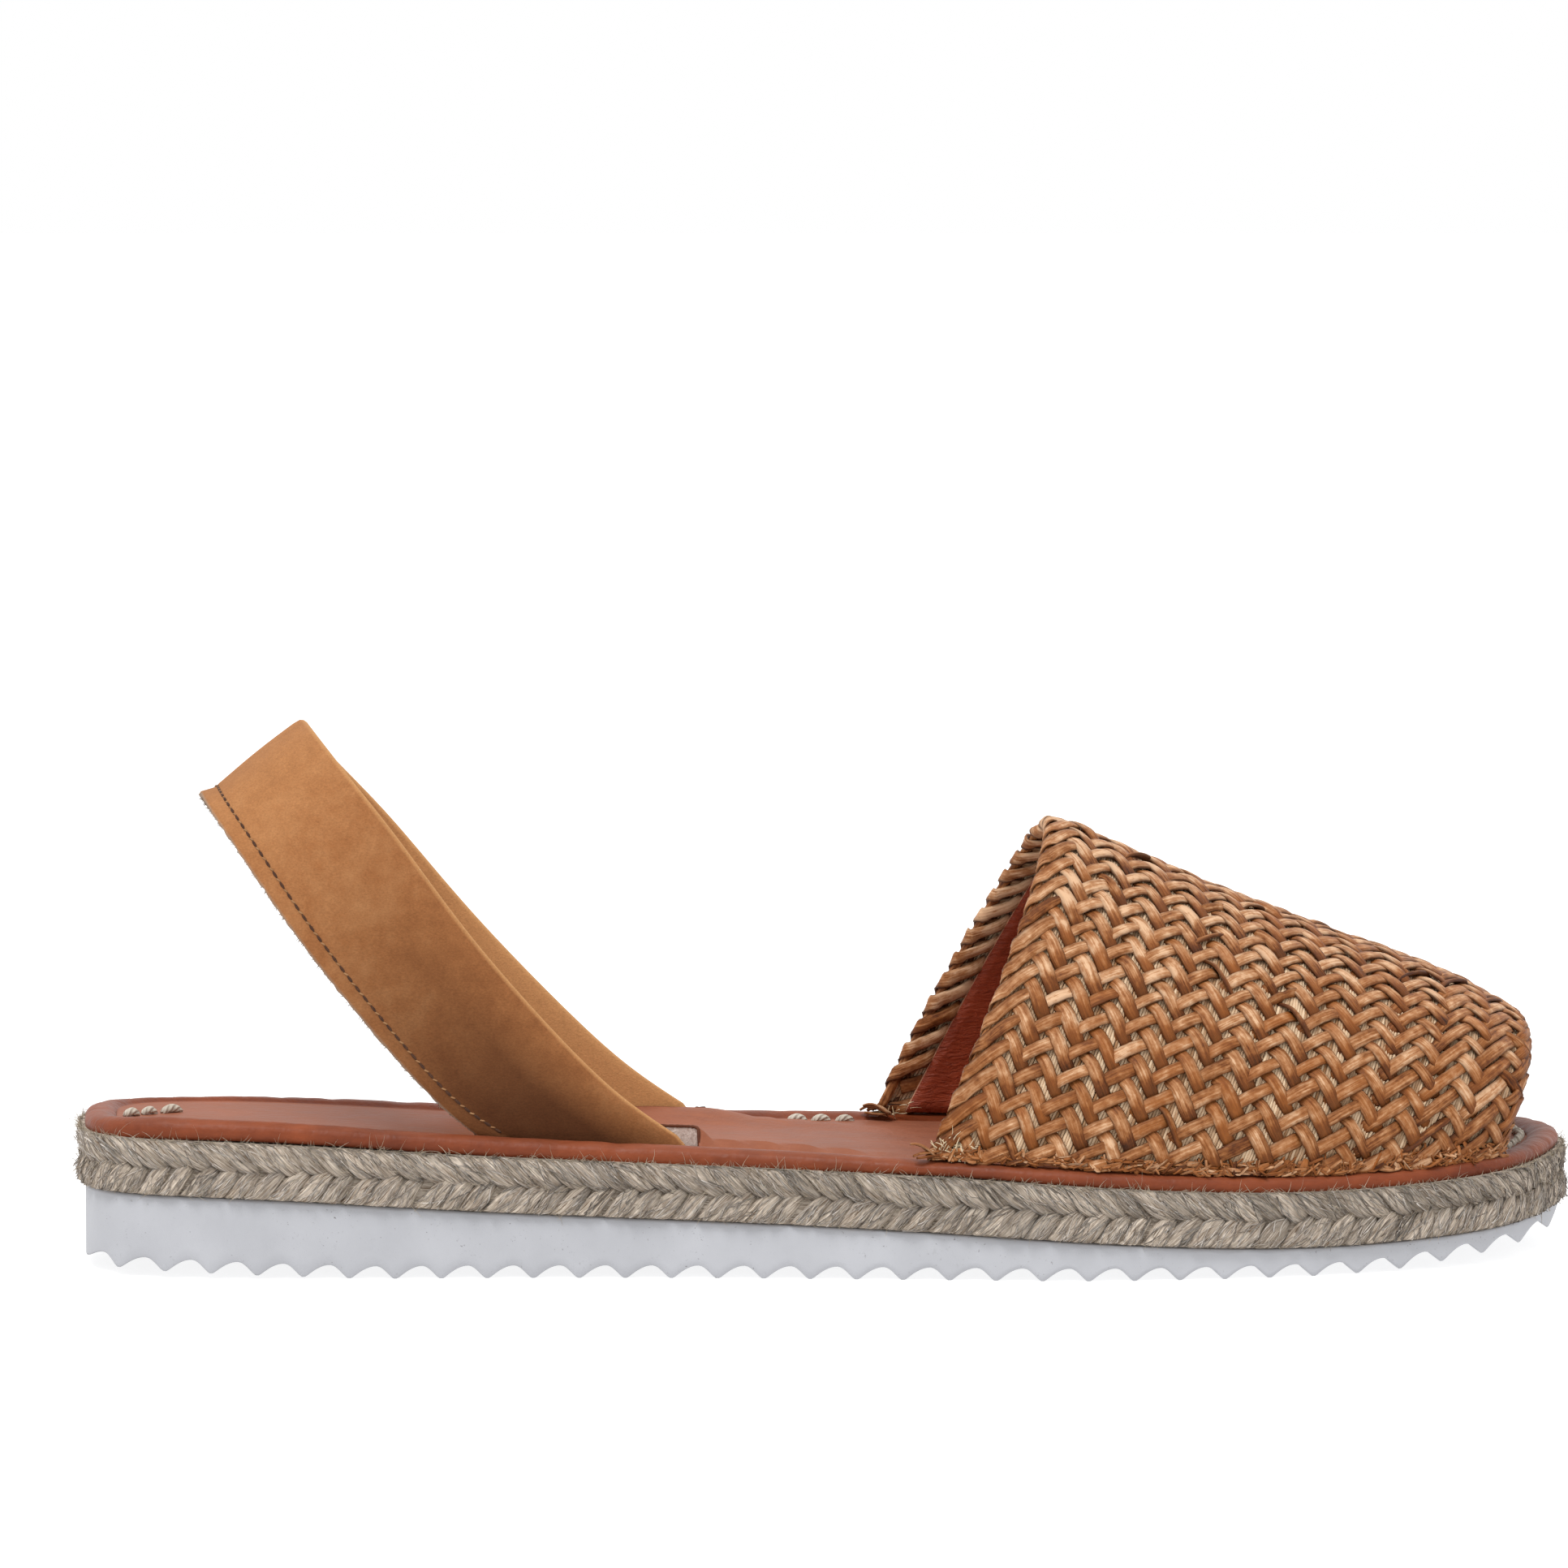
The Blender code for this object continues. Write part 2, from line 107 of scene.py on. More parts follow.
# Leather insole
RIM_CREST = 2.2
RIM = [
    # inset, height, droop
    (2.6, 0.1, 0.0),
    (1.5, 0.0, 1.0),
    (1.1, 0.8, 0.8),
    (1.6, 1.7, 0.2),
    (3.2, RIM_CREST, 0.0),
    (5.0, 1.9, 0.0),
    (6.4, 1.0, 0.0),
]
RIM_RAISE = [
    # x, lateral, medial: part of the height added on either side
    (0, 0.10, -0.40),
    (14, 0.50, -0.40),
    (40, 0.45, -0.22),
    (70, 0.25, -0.10),
    (110, 0.12, -0.05),
    (138, 0.0, 0.0),
    (256, 0.0, 0.0),
]
RIM_DROOP = [
    # x, depth
    (0, 1.0),
    (12, 0.45),
    (70, 0.45),
    (88, 0.7),
    (105, 1.0),
    (124, 0.7),
    (140, 0.2),
    (160, 0.4),
    (185, 0.6),
    (210, 0.7),
    (256, 0.3),
]
FOOTBED_HEIGHT = 1.0

# Heel strap
STRAP_THICK = 2.6
STRAP_MIDDLE_Y = -1.9
MEDIAL_FORWARD = 4.6
MEDIAL_ARM = [
    # share, ahead
    (0.00, 0.0),
    (0.20, -1.2),
    (0.42, 0.5),
    (0.70, 3.4),
    (1.00, MEDIAL_FORWARD),
]
STRAP = [
    # side_y, lower_x, lower_z, upper_x, upper_z
    (0.0, 22.2, 77.4, 38.9, 90.9),
    (12.5, 23.6, 75.4, 40.9, 88.6),
    (21.6, 28.9, 67.8, 46.3, 81.9),
    (24.8, 36.0, 57.4, 54.0, 72.0),
    (24.8, 45.0, 45.6, 65.0, 57.1),
    (24.6, 54.8, 34.0, 77.9, 42.0),
    (24.0, 61.4, 27.3, 89.3, 30.6),
    (23.4, 66.6, 23.1, 99.6, 23.0),
]
STRAP_FOOT_X = (68.6, 102.4)
SLOT_SIDE = 0.4
SLOT_BACK = 2.8

# Woven upper
VAMP_THROAT_X = 140.3
VAMP_TOE_X = 240.2
VAMP_INSET = 3.7
ROLL_TOE_X = 239.0         # middle of the rolled toe edge
COLUMN_COUNT = 12
COLUMN_FIRST = 7.5
COLUMN_LAST = 8.75
COLUMN_SPLIT = 0.55
ROW_PITCH = 4.8
ROW_CLIMB = 0.08           # how fast the rows rise over the lateral foot of the upper, towards the toe
VAMP = [
    # share, ridge_x, ridge_z, ridge_y, fullness
    (0.00, 165.7, 73.1, 1.0, 1.80),
    (0.33, 192.6, 61.5, 2.5, 1.92),
    (0.66, 219.7, 51.0, 4.5, 2.10),
    (0.92, 241.9, 41.6, 6.5, 2.25),
    (1.00, 247.9, 37.6, 7.0, 2.30),
]
FOOT_SHIFT = [
    # share, lateral, medial
    (0.00, 1.3, -1.0),
    (0.16, 0.0, 0.0),
    (1.00, 0.0, 0.0),
]

# Camera, as the photograph was taken
CAMERA_PLACE = (4.1, -1287.2, 173.6)
CAMERA_TURN = 5.137        # degrees towards the toe
CAMERA_DIP = 4.151         # degrees below the horizon
CAMERA_LENS = 175.07
CAMERA_FAR = 1000.0        # metres
SENSOR = 36.0

STAGE_SHADE = 0.82         # the white stage is this much too bright for the colours below
LIGHTS = [
    # name, direction it comes from, strength, spread in degrees
    ("key", (-0.35, -0.55, 1.1), 1.9, 22.0),
    ("back", (0.5, 0.8, 0.7), 0.3, 70.0),
]
FLOOR_HALF = 400.0         # metres, out to the horizon
FLOOR_GREY = 0.35
FLOOR_GLOW = 0.78

UP = np.array([0.0, 0.0, 1.0])
SEED_SPAN = 500.0          # how far apart the patterns of two strands may lie
random = np.random.default_rng(SEED)


def smooth(at, rows, column=1):
    """Natural cubic through the first value of each row and the one in a column."""
    x = np.array([row[0] for row in rows], float)
    y = np.array([row[column] for row in rows], float)
    count = len(x)
    step = np.diff(x)
    matrix = np.eye(count)
    right = np.zeros(count)
    for i in range(1, count - 1):
        matrix[i, i - 1:i + 2] = (step[i - 1], 2 * (step[i - 1] + step[i]), step[i])
        right[i] = 6 * ((y[i + 1] - y[i]) / step[i] - (y[i] - y[i - 1]) / step[i - 1])
    bend = np.linalg.solve(matrix, right)
    at = np.clip(np.asarray(at, float), x[0], x[-1])
    i = np.clip(np.searchsorted(x, at) - 1, 0, count - 2)
    before = at - x[i]
    after = x[i + 1] - at
    cubic = (bend[i] * after ** 3 + bend[i + 1] * before ** 3) / (6 * step[i])
    low = (y[i] / step[i] - bend[i] * step[i] / 6) * after
    high = (y[i + 1] / step[i] - bend[i + 1] * step[i] / 6) * before
    return cubic + low + high


def straight(at, rows, column=1):
    """Straight lines through the first value of each row and the one in a column."""
    return np.interp(at, [row[0] for row in rows], [row[column] for row in rows])


def ease(value, start, end):
    """0 before start, 1 after end, and a soft step between them."""
    share = np.clip((np.asarray(value, float) - start) / (end - start), 0.0, 1.0)
    return share * share * (3 - 2 * share)


def unit(vectors):
    return vectors / np.linalg.norm(vectors, axis=-1, keepdims=True)


def shares(count):
    """Even shares of the way along, from 0 to 1, as one line."""
    return np.linspace(0.0, 1.0, count)[None]


def run_along(line):
    """Run from the start of a line to each of its points."""
    return np.concatenate([[0.0], np.cumsum(np.linalg.norm(np.diff(line, axis=0), axis=1))])


def read_line(at, run, line):
    """Points of a line, or values beside it, at runs along it."""
    return np.stack([np.interp(at, run, values) for values in line.T], axis=-1)


def closed_curve(points, count):
    """Smooth closed curve through the points, read at equal steps along it."""
    points = np.array(points, float)
    dense = []
    total = len(points)
    for i in range(total):
        four = [points[(i + k - 1) % total] for k in range(4)]
        knots = [0.0]
        for k in range(3):
            knots.append(knots[-1] + math.sqrt(np.linalg.norm(four[k + 1] - four[k])))
        for t in np.linspace(knots[1], knots[2], CURVE_STEPS, endpoint=False):
            level = list(four)
            for span in (1, 2):
                blend = []
                for k in range(len(level) - 1):
                    first = knots[k]
                    last = knots[k + span]
                    blend.append(((last - t) * level[k] + (t - first) * level[k + 1]) / (last - first))
                level = blend
            dense.append(((knots[2] - t) * level[0] + (t - knots[1]) * level[1]) / (knots[2] - knots[1]))
    dense = np.array(dense + [dense[0]])
    run = run_along(dense)
    return read_line(np.linspace(0.0, run[-1], count, endpoint=False), run, dense)


def plan_curve(count):
    lateral = [(x, lateral_y) for x, lateral_y, medial_y in PLAN]
    medial = [(x, medial_y) for x, lateral_y, medial_y in reversed(PLAN)]
    return closed_curve([HEEL_END] + lateral + [TOE_END] + medial, count)


def outward_of(curve):
    along = unit(np.roll(curve, -1, axis=0) - np.roll(curve, 1, axis=0))
    return np.column_stack([along[:, 1], -along[:, 0]])


PLAN_CURVE = plan_curve(PLAN_POINTS)
CENTRE = (PLAN_CURVE.min(axis=0) + PLAN_CURVE.max(axis=0)) / 2
FINE_CURVE = plan_curve(FINE_POINTS)
FINE_OUTWARD = outward_of(FINE_CURVE)
CURVE_LENGTH = float(np.sum(np.linalg.norm(np.diff(FINE_CURVE, axis=0, append=FINE_CURVE[:1]), axis=1)))


def inset_curve(distance):
    return FINE_CURVE - FINE_OUTWARD * distance


def round_plan(run, inset):
    """Point and outward direction at a run round the plan, an inset in from it."""
    at = np.mod(run, CURVE_LENGTH) / CURVE_LENGTH * FINE_POINTS
    first = np.floor(at).astype(int) % FINE_POINTS
    last = (first + 1) % FINE_POINTS
    share = (at - np.floor(at))[..., None]
    point = FINE_CURVE[first] * (1 - share) + FINE_CURVE[last] * share
    outward = unit(FINE_OUTWARD[first] * (1 - share) + FINE_OUTWARD[last] * share)
    return point - outward * np.asarray(inset, float)[..., None], outward


def plan_side(x, inset, lateral):
    """y of the inset plan at x, on the lateral or the medial side."""
    curve = inset_curve(inset)
    curve = np.roll(curve, -int(np.argmin(curve[:, 0])), axis=0)
    toe = int(np.argmax(curve[:, 0]))
    part = curve[:toe + 1] if lateral else np.vstack([curve[:1], curve[:toe - 1:-1]])
    return np.interp(x, part[:, 0], part[:, 1])


def deck(x):
    return smooth(x, DECK)


def core_top(x):
    return deck(x) + GAP + BAND_HEIGHT


def insole_base(x):
    return core_top(x) + GAP


def to_frame(points):
    """Millimetres from the heel to metres from the middle of the sole."""
    return (np.asarray(points, float) - (CENTRE[0], CENTRE[1], 0.0)) * MM


# Meshes
def tube_corners(stations, around):
    """Corners of a closed tube's quads, then of its caps' triangles, as (station, place around)."""
    k = np.arange(around)
    quads = []
    triangles = []
    for s in range(stations - 1):
        corners = ((s, 0), (s, 1), (s + 1, 1), (s + 1, 0))
        columns = [np.column_stack([np.full(around, row), k + step]) for row, step in corners]
        quads.append(np.stack(columns, axis=1))
    for s, order in ((0, -1), (stations - 1, 1)):
        for j in range(around // 2 - 1):
            quad = [(s, j), (s, j + 1), (s, around - 2 - j), (s, around - 1 - j)]
            quads.append(np.array([quad[::order]]))
        j = around // 2
        if around % 2:
            triangles.append([(s, j - 1), (s, j), (s, j + 1)][::order])
    return [np.concatenate(quads)] + ([np.array(triangles)] if triangles else [])


def put(name, data):
    """Adds an object to the scene."""
    thing = bpy.data.objects.new(name, data)
    bpy.context.scene.collection.objects.link(thing)
    return thing


def summed(steps):
    """Sums of each line of steps, from 0."""
    return np.concatenate([np.zeros((len(steps), 1)), np.cumsum(steps, axis=1)], axis=1)


class Sheaf:
    """Closed shapes gathered into one mesh.

    Each face corner carries lay, which is (along, around, seed) in millimetres,
    and mark, which is tone, edge, and a third value for tints, real wear and painted light and shade.
    """

    def __init__(self):
        self.points = []
        self.loops = []
        self.sizes = []
        self.lay = []
        self.mark = []
        self.looks = []
        self.count = 0

    def tubes(self, rings, tone=0.5, edge=0.0, tint_and_painted_light=0.0, look=0):
        """Closed tubes from rings shaped (tube, station, around, 3); tone and the third mark may change by
        station.
        """
        tubes, stations, around = rings.shape[:3]
        middle = rings[:, stations // 2]
        along = summed(np.linalg.norm(np.diff(rings.mean(axis=2), axis=1), axis=2))
        round_it = summed(np.linalg.norm(np.roll(middle, -1, axis=1) - middle, axis=2))
        seeds = random.uniform(0.0, SEED_SPAN, tubes)
        edge = np.broadcast_to(edge, (around,))
        tone = np.broadcast_to(tone, (tubes, stations))
        tint_and_painted_light = np.broadcast_to(tint_and_painted_light, (tubes, stations))
        first = self.count + np.arange(tubes)[:, None, None] * stations * around
        for corners in tube_corners(stations, around):
            station = corners[..., 0]
            place = corners[..., 1]
            whole = (tubes, *station.shape)
            lay = [along[:, station], round_it[:, place], np.broadcast_to(seeds[:, None, None], whole)]
            mark = [tone[:, station], np.broadcast_to(edge[place % around], whole), tint_and_painted_light[:, station]]
            self.loops.append((first + station * around + place % around).ravel())
            self.sizes.append(np.full(tubes * len(corners), corners.shape[1]))
            self.looks.append(np.full(tubes * len(corners), look))
            self.lay.append(np.stack(lay, axis=-1).reshape(-1, 3))
            self.mark.append(np.stack(mark, axis=-1).reshape(-1, 3))
        self.points.append(rings.reshape(-1, 3))
        self.count += tubes * stations * around
        return self

    def build(self, name, looks):
        points = to_frame(np.concatenate(self.points))
        loops = np.concatenate(self.loops)
        sizes = np.concatenate(self.sizes)
        mesh = bpy.data.meshes.new(name)
        mesh.vertices.add(len(points))
        mesh.vertices.foreach_set("co", points.astype(np.float32).ravel())
        mesh.loops.add(len(loops))
        mesh.loops.foreach_set("vertex_index", loops.astype(np.int32))
        mesh.polygons.add(len(sizes))
        mesh.polygons.foreach_set("loop_start", (np.cumsum(sizes) - sizes).astype(np.int32))
        mesh.polygons.foreach_set("material_index", np.concatenate(self.looks).astype(np.int32))
        for title, values in (("lay", self.lay), ("mark", self.mark)):
            layer = mesh.attributes.new(title, "FLOAT_VECTOR", "CORNER")
            layer.data.foreach_set("vector", np.concatenate(values).astype(np.float32).ravel())
        mesh.update(calc_edges=True)
        for look in looks:
            mesh.materials.append(look)
        mesh.shade_smooth()
        return put(name, mesh)


def ribbons(centre, up, half, thick, section):
    """Rings of a section swept along paths shaped (ribbon, station, 3), with its top towards up."""
    tangent = unit(np.gradient(centre, axis=1))
    side = unit(np.cross(up, tangent))
    top = np.cross(tangent, side)
    section = np.asarray(section, float)
    half = np.broadcast_to(half, centre.shape[:2])
    thick = np.broadcast_to(thick, centre.shape[:2])
    across = side[:, :, None] * (half[:, :, None] * section[:, 0])[..., None]
    over = top[:, :, None] * (thick[:, :, None] * section[:, 1])[..., None]
    return centre[:, :, None] + across + over


def circle(count):
    angle = np.linspace(0.0, 2 * math.pi, count, endpoint=False)
    return np.column_stack([np.cos(angle), np.sin(angle)])


def turned(up, tangent, angle):
    """Up turned about the path by an angle for each ribbon."""
    angle = np.broadcast_to(angle, up.shape[:2])[..., None]
    return up * np.cos(angle) + np.cross(tangent, up) * np.sin(angle)


# Materials
def srgb(red, green, blue):
    """A colour as it should look on the stage."""
    values = np.array([red, green, blue]) / 255
    linear = np.where(values <= 0.04045, values / 12.92, ((values + 0.055) / 1.055) ** 2.4)
    return (*[float(v) * STAGE_SHADE for v in linear], 1.0)


class Look:
    """A Principled material with short ways to add nodes to it."""

    def __init__(self, name, **sockets):
        self.material = bpy.data.materials.new(name)
        self.material.use_nodes = True
        self.tree = self.material.node_tree
        self.shader = self.tree.nodes["Principled BSDF"]
        for key, value in sockets.items():
            self.shader.inputs[key.replace("_", " ")].default_value = value

    def node(self, kind, inputs=(), **settings):
        node = self.tree.nodes.new("ShaderNode" + kind)
        for key, value in settings.items():
            setattr(node, key, value)
        for key, value in dict(inputs).items():
            self.join(value, node.inputs[key])
        return node

    def join(self, value, socket):
        if isinstance(value, bpy.types.NodeSocket):
            self.tree.links.new(value, socket)
        else:
            socket.default_value = value

    def place(self, scale=(1.0, 1.0, 1.0)):
        """Place on the object in millimetres, times scale."""
        coordinates = self.node("TexCoord").outputs["Object"]
        stretch = tuple(s / MM for s in scale)
        return self.node("Mapping", {"Vector": coordinates, "Scale": stretch}).outputs["Vector"]

    def lay(self, scale=(1.0, 1.0, 1.0)):
        """Place along and around a strand in millimetres, times scale."""
        vector = self.node("Attribute", attribute_name="lay").outputs["Vector"]
        return self.node("Mapping", {"Vector": vector, "Scale": scale}).outputs["Vector"]

    def mark(self):
        """Tone, edge and wear of the strand."""
        vector = self.node("Attribute", attribute_name="mark").outputs["Vector"]
        return self.node("SeparateXYZ", {"Vector": vector}).outputs

    def noise(self, vector, scale=1.0, detail=3.0, rough=0.55, warp=0.0):
        inputs = {"Vector": vector, "Scale": scale, "Detail": detail, "Roughness": rough, "Distortion": warp}
        return self.node("TexNoise", inputs).outputs["Fac"]

    def ramp(self, factor, *stops):
        """Colours at places from 0 to 1."""
        node = self.node("ValToRGB", {"Fac": factor})
        elements = node.color_ramp.elements
        while len(elements) < len(stops):
            elements.new(0.5)
        for element, (at, colour) in zip(elements, stops):
            element.position = at
            element.color = colour
        return node.outputs["Color"]

    def curve(self, value, low, high, to_low=0.0, to_high=1.0):
        """Value mapped from low..high, held at the ends."""
        inputs = {"Value": value, "From Min": low, "From Max": high, "To Min": to_low, "To Max": to_high}
        return self.node("MapRange", inputs).outputs["Result"]

    def math(self, operation, first, second=0.0):
        node = self.node("Math", operation=operation)
        self.join(first, node.inputs[0])
        self.join(second, node.inputs[1])
        return node.outputs["Value"]

    def times(self, first, second):
        return self.math("MULTIPLY", first, second)

    def span(self, noise, low, high):
        """Noise, most of which lies between 0.3 and 0.7, mapped to low..high."""
        return self.curve(noise, 0.3, 0.7, low, high)

    def mix(self, factor, first, second, kind="MIX"):
        node = self.node("Mix", data_type="RGBA", blend_type=kind)
        self.join(factor, node.inputs["Factor"])
        self.join(first, node.inputs[6])
        self.join(second, node.inputs[7])
        return node.outputs[2]

    def blend(self, first, second, share):
        """Two values added, the second with a share."""
        return self.math("ADD", self.times(first, 1 - share), self.times(second, share))

    def shaded(self, colour, shade):
        """Colour times a grey shade."""
        grey = self.node("CombineColor", {"Red": shade, "Green": shade, "Blue": shade}).outputs["Color"]
        return self.mix(1.0, colour, grey, "MULTIPLY")

    def bump(self, height, depth, strength=1.0, under=None):
        """Bump of a depth in millimetres."""
        inputs = {"Height": height, "Strength": strength, "Distance": depth * MM}
        if under is not None:
            inputs["Normal"] = under
        return self.node("Bump", inputs).outputs["Normal"]

    def finish(self, colour, roughness=None, normal=None):
        self.join(colour, self.shader.inputs["Base Color"])
        if roughness is not None:
            self.join(roughness, self.shader.inputs["Roughness"])
        if normal is not None:
            self.join(normal, self.shader.inputs["Normal"])
        return self.material


def foam_look():
    look = Look("white_foam", Roughness=0.6, Specular_IOR_Level=0.35)
    place = look.place()
    cloud = look.noise(place, 0.09, 4.0)
    colour = look.ramp(cloud, (0.3, srgb(182, 183, 188)), (0.7, srgb(191, 192, 197)))
    speck = look.curve(look.noise(place, 1.7, 2.0, 0.7), 0.66, 0.73)
    patch = look.curve(look.noise(place, 0.13, 3.0), 0.42, 0.62)
    dirt = look.times(speck, patch)
    colour = look.mix(dirt, colour, srgb(120, 116, 116))
    smudge = look.curve(look.noise(place, 0.5, 5.0, 0.75), 0.62, 0.78, 0.0, 0.4)
    colour = look.mix(look.times(smudge, patch), colour, srgb(140, 138, 140))
    scuff = look.curve(look.noise(look.place((0.25, 0.25, 3.0)), 1.0, 4.0, 0.65), 0.6, 0.85, 0.0, 0.3)
    colour = look.mix(scuff, colour, srgb(186, 187, 194))
    pores = look.noise(place, 5.0, 2.0)
    grain = look.bump(pores, 0.05, 0.5, look.bump(cloud, 0.5, 0.4))
    return look.finish(colour, look.span(cloud, 0.55, 0.7), grain)


def fibre_board_look():
    look = Look("pale_board", Roughness=0.9)
    fibre = look.noise(look.place((1.0, 2.5, 1.0)), 1.6, 4.0, 0.7)
    colour = look.ramp(fibre, (0.3, srgb(186, 160, 148)), (0.65, srgb(238, 220, 210)))
    return look.finish(colour, None, look.bump(fibre, 0.3))


def jute_look(name, dark, light):
    look = Look(name, Roughness=0.85, Specular_IOR_Level=0.08)
    fibre = look.noise(look.lay((0.22, 4.5, 1.0)), 1.0, 3.0, 0.6, 0.3)
    fine = look.noise(look.lay((0.5, 11.0, 1.0)), 1.0, 2.0, 0.6)
    both = look.blend(fibre, fine, 0.4)
    middle = tuple((a + b) / 2 for a, b in zip(dark, light))
    colour = look.ramp(both, (0.34, dark), (0.5, middle), (0.66, light))
    colour = look.shaded(colour, look.curve(look.mark()[0], 0.0, 1.0, 0.3, 1.14))
    return look.finish(colour, None, look.bump(both, 0.6))


def leather_look(name, dark, light, grain, roughness, folds=0.0):
    """Smooth leather with pores, soft creases, rubbed high places lightened together with a painted sheen,
    painted shade where the edge mark is set, and fine folds of a depth.
    """
    look = Look(name, Roughness=roughness, Specular_IOR_Level=0.22)
    place = look.place()
    cloud = look.noise(place, 0.07, 5.0, 0.6)
    streak = look.noise(look.place((0.2, 0.7, 0.7)), 1.0, 4.0, 0.65)
    colour = look.ramp(look.blend(cloud, streak, 0.3), (0.32, dark), (0.68, light))
    cells = look.node("TexVoronoi", {"Vector": place, "Scale": grain}, feature="SMOOTH_F1")
    wrinkle = look.noise(place, grain * 0.35, 4.0, 0.6, 0.6)
    edge, tint_and_painted_light = look.mark()[1:]
    # the third mark lightens the leather: rubbing plus a painted sheen and highlight, over the footbed and
    # along the rim's crest
    rubbed_and_sheen = look.times(tint_and_painted_light, look.span(streak, 0.42, 0.64))
    colour = look.mix(rubbed_and_sheen, colour, srgb(182, 120, 92))
    # the edge mark paints shade; on the insole it darkens the low part of the rim under its roll
    colour = look.mix(look.times(edge, 0.6), colour, srgb(92, 42, 26))
    normal = look.bump(cells.outputs["Distance"], 0.10, 0.5, look.bump(wrinkle, 0.30, 0.5))
    if folds:
        fold = look.noise(look.place((0.5, 0.5, 1.6)), 0.9, 3.0, 0.6, 0.8)
        normal = look.bump(fold, folds, 0.9, normal)
    dull = look.span(streak, roughness - 0.08, roughness + 0.1)
    return look.finish(colour, look.math("ADD", dull, look.times(tint_and_painted_light, 0.15)), normal)


def nubuck_look(to_fold):
    """Napped leather, with painted shade laid between its two edges by the third mark.

    to_fold is the way round the section from the raw edge to the fold.
    """
    look = Look("tan_nubuck", Roughness=0.9, Specular_IOR_Level=0.15)
    place = look.place()
    cloud = look.noise(place, 0.055, 4.0, 0.55, 0.4)
    mottle = look.noise(place, 0.35, 4.0, 0.6)
    nap = look.noise(look.place((1.0, 1.0, 1.6)), 2.4, 4.0, 0.7)
    colour = look.ramp(
        look.blend(cloud, mottle, 0.4),
        (0.3, srgb(140, 87, 50)),
        (0.5, srgb(161, 105, 63)),
        (0.7, srgb(178, 124, 80)),
    )
    tone, edge, tint_and_painted_light = look.mark()
    # painted light: a higher tone lightens the lit parts of the arms
    colour = look.mix(look.curve(tone, 0.5, 1.0), colour, srgb(208, 152, 100))
    across = look.node("SeparateXYZ", {"Vector": look.lay()}).outputs["Y"]
    away = look.math("ABSOLUTE", look.math("SUBTRACT", across, to_fold))
    by_fold = look.curve(away, 0.5, 9.0, 0.05, 1.0)
    by_raw_edge = look.curve(away, to_fold - 5.0, to_fold, 1.0, 0.6)
    # painted shade: the third mark darkens the strap away from its fold and its raw edge
    painted_shade = look.times(tint_and_painted_light, look.times(by_fold, by_raw_edge))
    colour = look.mix(painted_shade, colour, srgb(66, 33, 15))
    # painted highlight along the fold edge, with some pale wear on the fold
    colour = look.mix(look.curve(away, 0.5, 1.5, 0.85, 0.0), colour, srgb(210, 156, 102))
    colour = look.mix(edge, colour, srgb(168, 150, 132))
    colour = look.shaded(colour, look.span(nap, 0.80, 1.15))
    normal = look.bump(nap, 0.16, 0.6, look.bump(mottle, 0.35, 0.35))
    return look.finish(colour, None, normal)


def strip_look():
    look = Look("woven_strip", Roughness=0.55, Specular_IOR_Level=0.18)
    tone, edge, tint_and_painted_light = look.mark()
    streak = look.noise(look.lay((0.18, 2.6, 1.0)), 1.0, 4.0, 0.6, 0.2)
    blotch = look.noise(look.lay((0.5, 0.6, 1.0)), 1.0, 3.0, 0.6)
    shift = look.span(blotch, -0.22, 0.22)
    shift = look.math("ADD", look.span(streak, -0.24, 0.24), shift)
    colour = look.ramp(
        look.math("ADD", tone, shift),
        (0.0, srgb(48, 22, 7)),
        (0.3, srgb(106, 56, 22)),
        (0.55, srgb(152, 95, 51)),
        (0.8, srgb(188, 136, 94)),
        (1.0, srgb(224, 182, 144)),
    )
    warm = look.times(tint_and_painted_light, look.curve(blotch, 0.35, 0.65, 0.9, 0.3))
    colour = look.mix(warm, colour, srgb(166, 96, 40))
    # the edge mark darkens the strips' sides: dark cut edges and painted shade beside each strip
    dark = look.times(edge, look.span(streak, 0.5, 0.95))
    colour = look.mix(dark, colour, srgb(64, 28, 8))
    normal = look.bump(streak, 0.3, 0.8)
    return look.finish(colour, look.span(blotch, 0.45, 0.7), normal)


def thread_look(name, dark, light, roughness=0.85, twist_depth=0.0):
    """Yarn with a tone of its own on each thread, and slanting plies where twist_depth is above 0."""
    look = Look(name, Roughness=roughness, Specular_IOR_Level=0.2)
    cloud = look.noise(look.lay((0.35, 0.8, 1.0)), 1.0, 3.0)
    colour = look.ramp(look.blend(look.mark()[0], cloud, 0.5), (0.25, dark), (0.75, light))
    if not twist_depth:
        return look.finish(colour)
    inputs = {"Vector": look.lay((0.55, 0.55, 0.01)), "Scale": 1.0, "Distortion": 1.0, "Detail": 1.0}
    plies = look.node("TexWave", inputs, bands_direction="DIAGONAL").outputs["Fac"]
    # painted shade in the grooves between the plies
    colour = look.mix(look.curve(plies, 0.0, 0.35, 0.45, 0.0), colour, dark)
    return look.finish(colour, None, look.bump(plies, twist_depth, 0.8))


def mottled_look(name, roughness, scale, dark, light):
    look = Look(name, Roughness=roughness)
    return look.finish(look.ramp(look.noise(look.place(), scale), (0.3, dark), (0.7, light)))


# Outsole
SOLE_STATIONS = 160
TOOTH_STATIONS = 16
SOLE_WALL = [
    # rise, inward
    (0.0, 0.25),
    (0.03, 0.04),
    (0.2, 0.0),
    (0.4, 0.0),
    (0.6, 0.0),
    (0.8, 0.0),
    (0.95, 0.03),
    (1.0, 0.25),
]
CORE_SINK = 0.5            # how far the board inside the band reaches into the foam


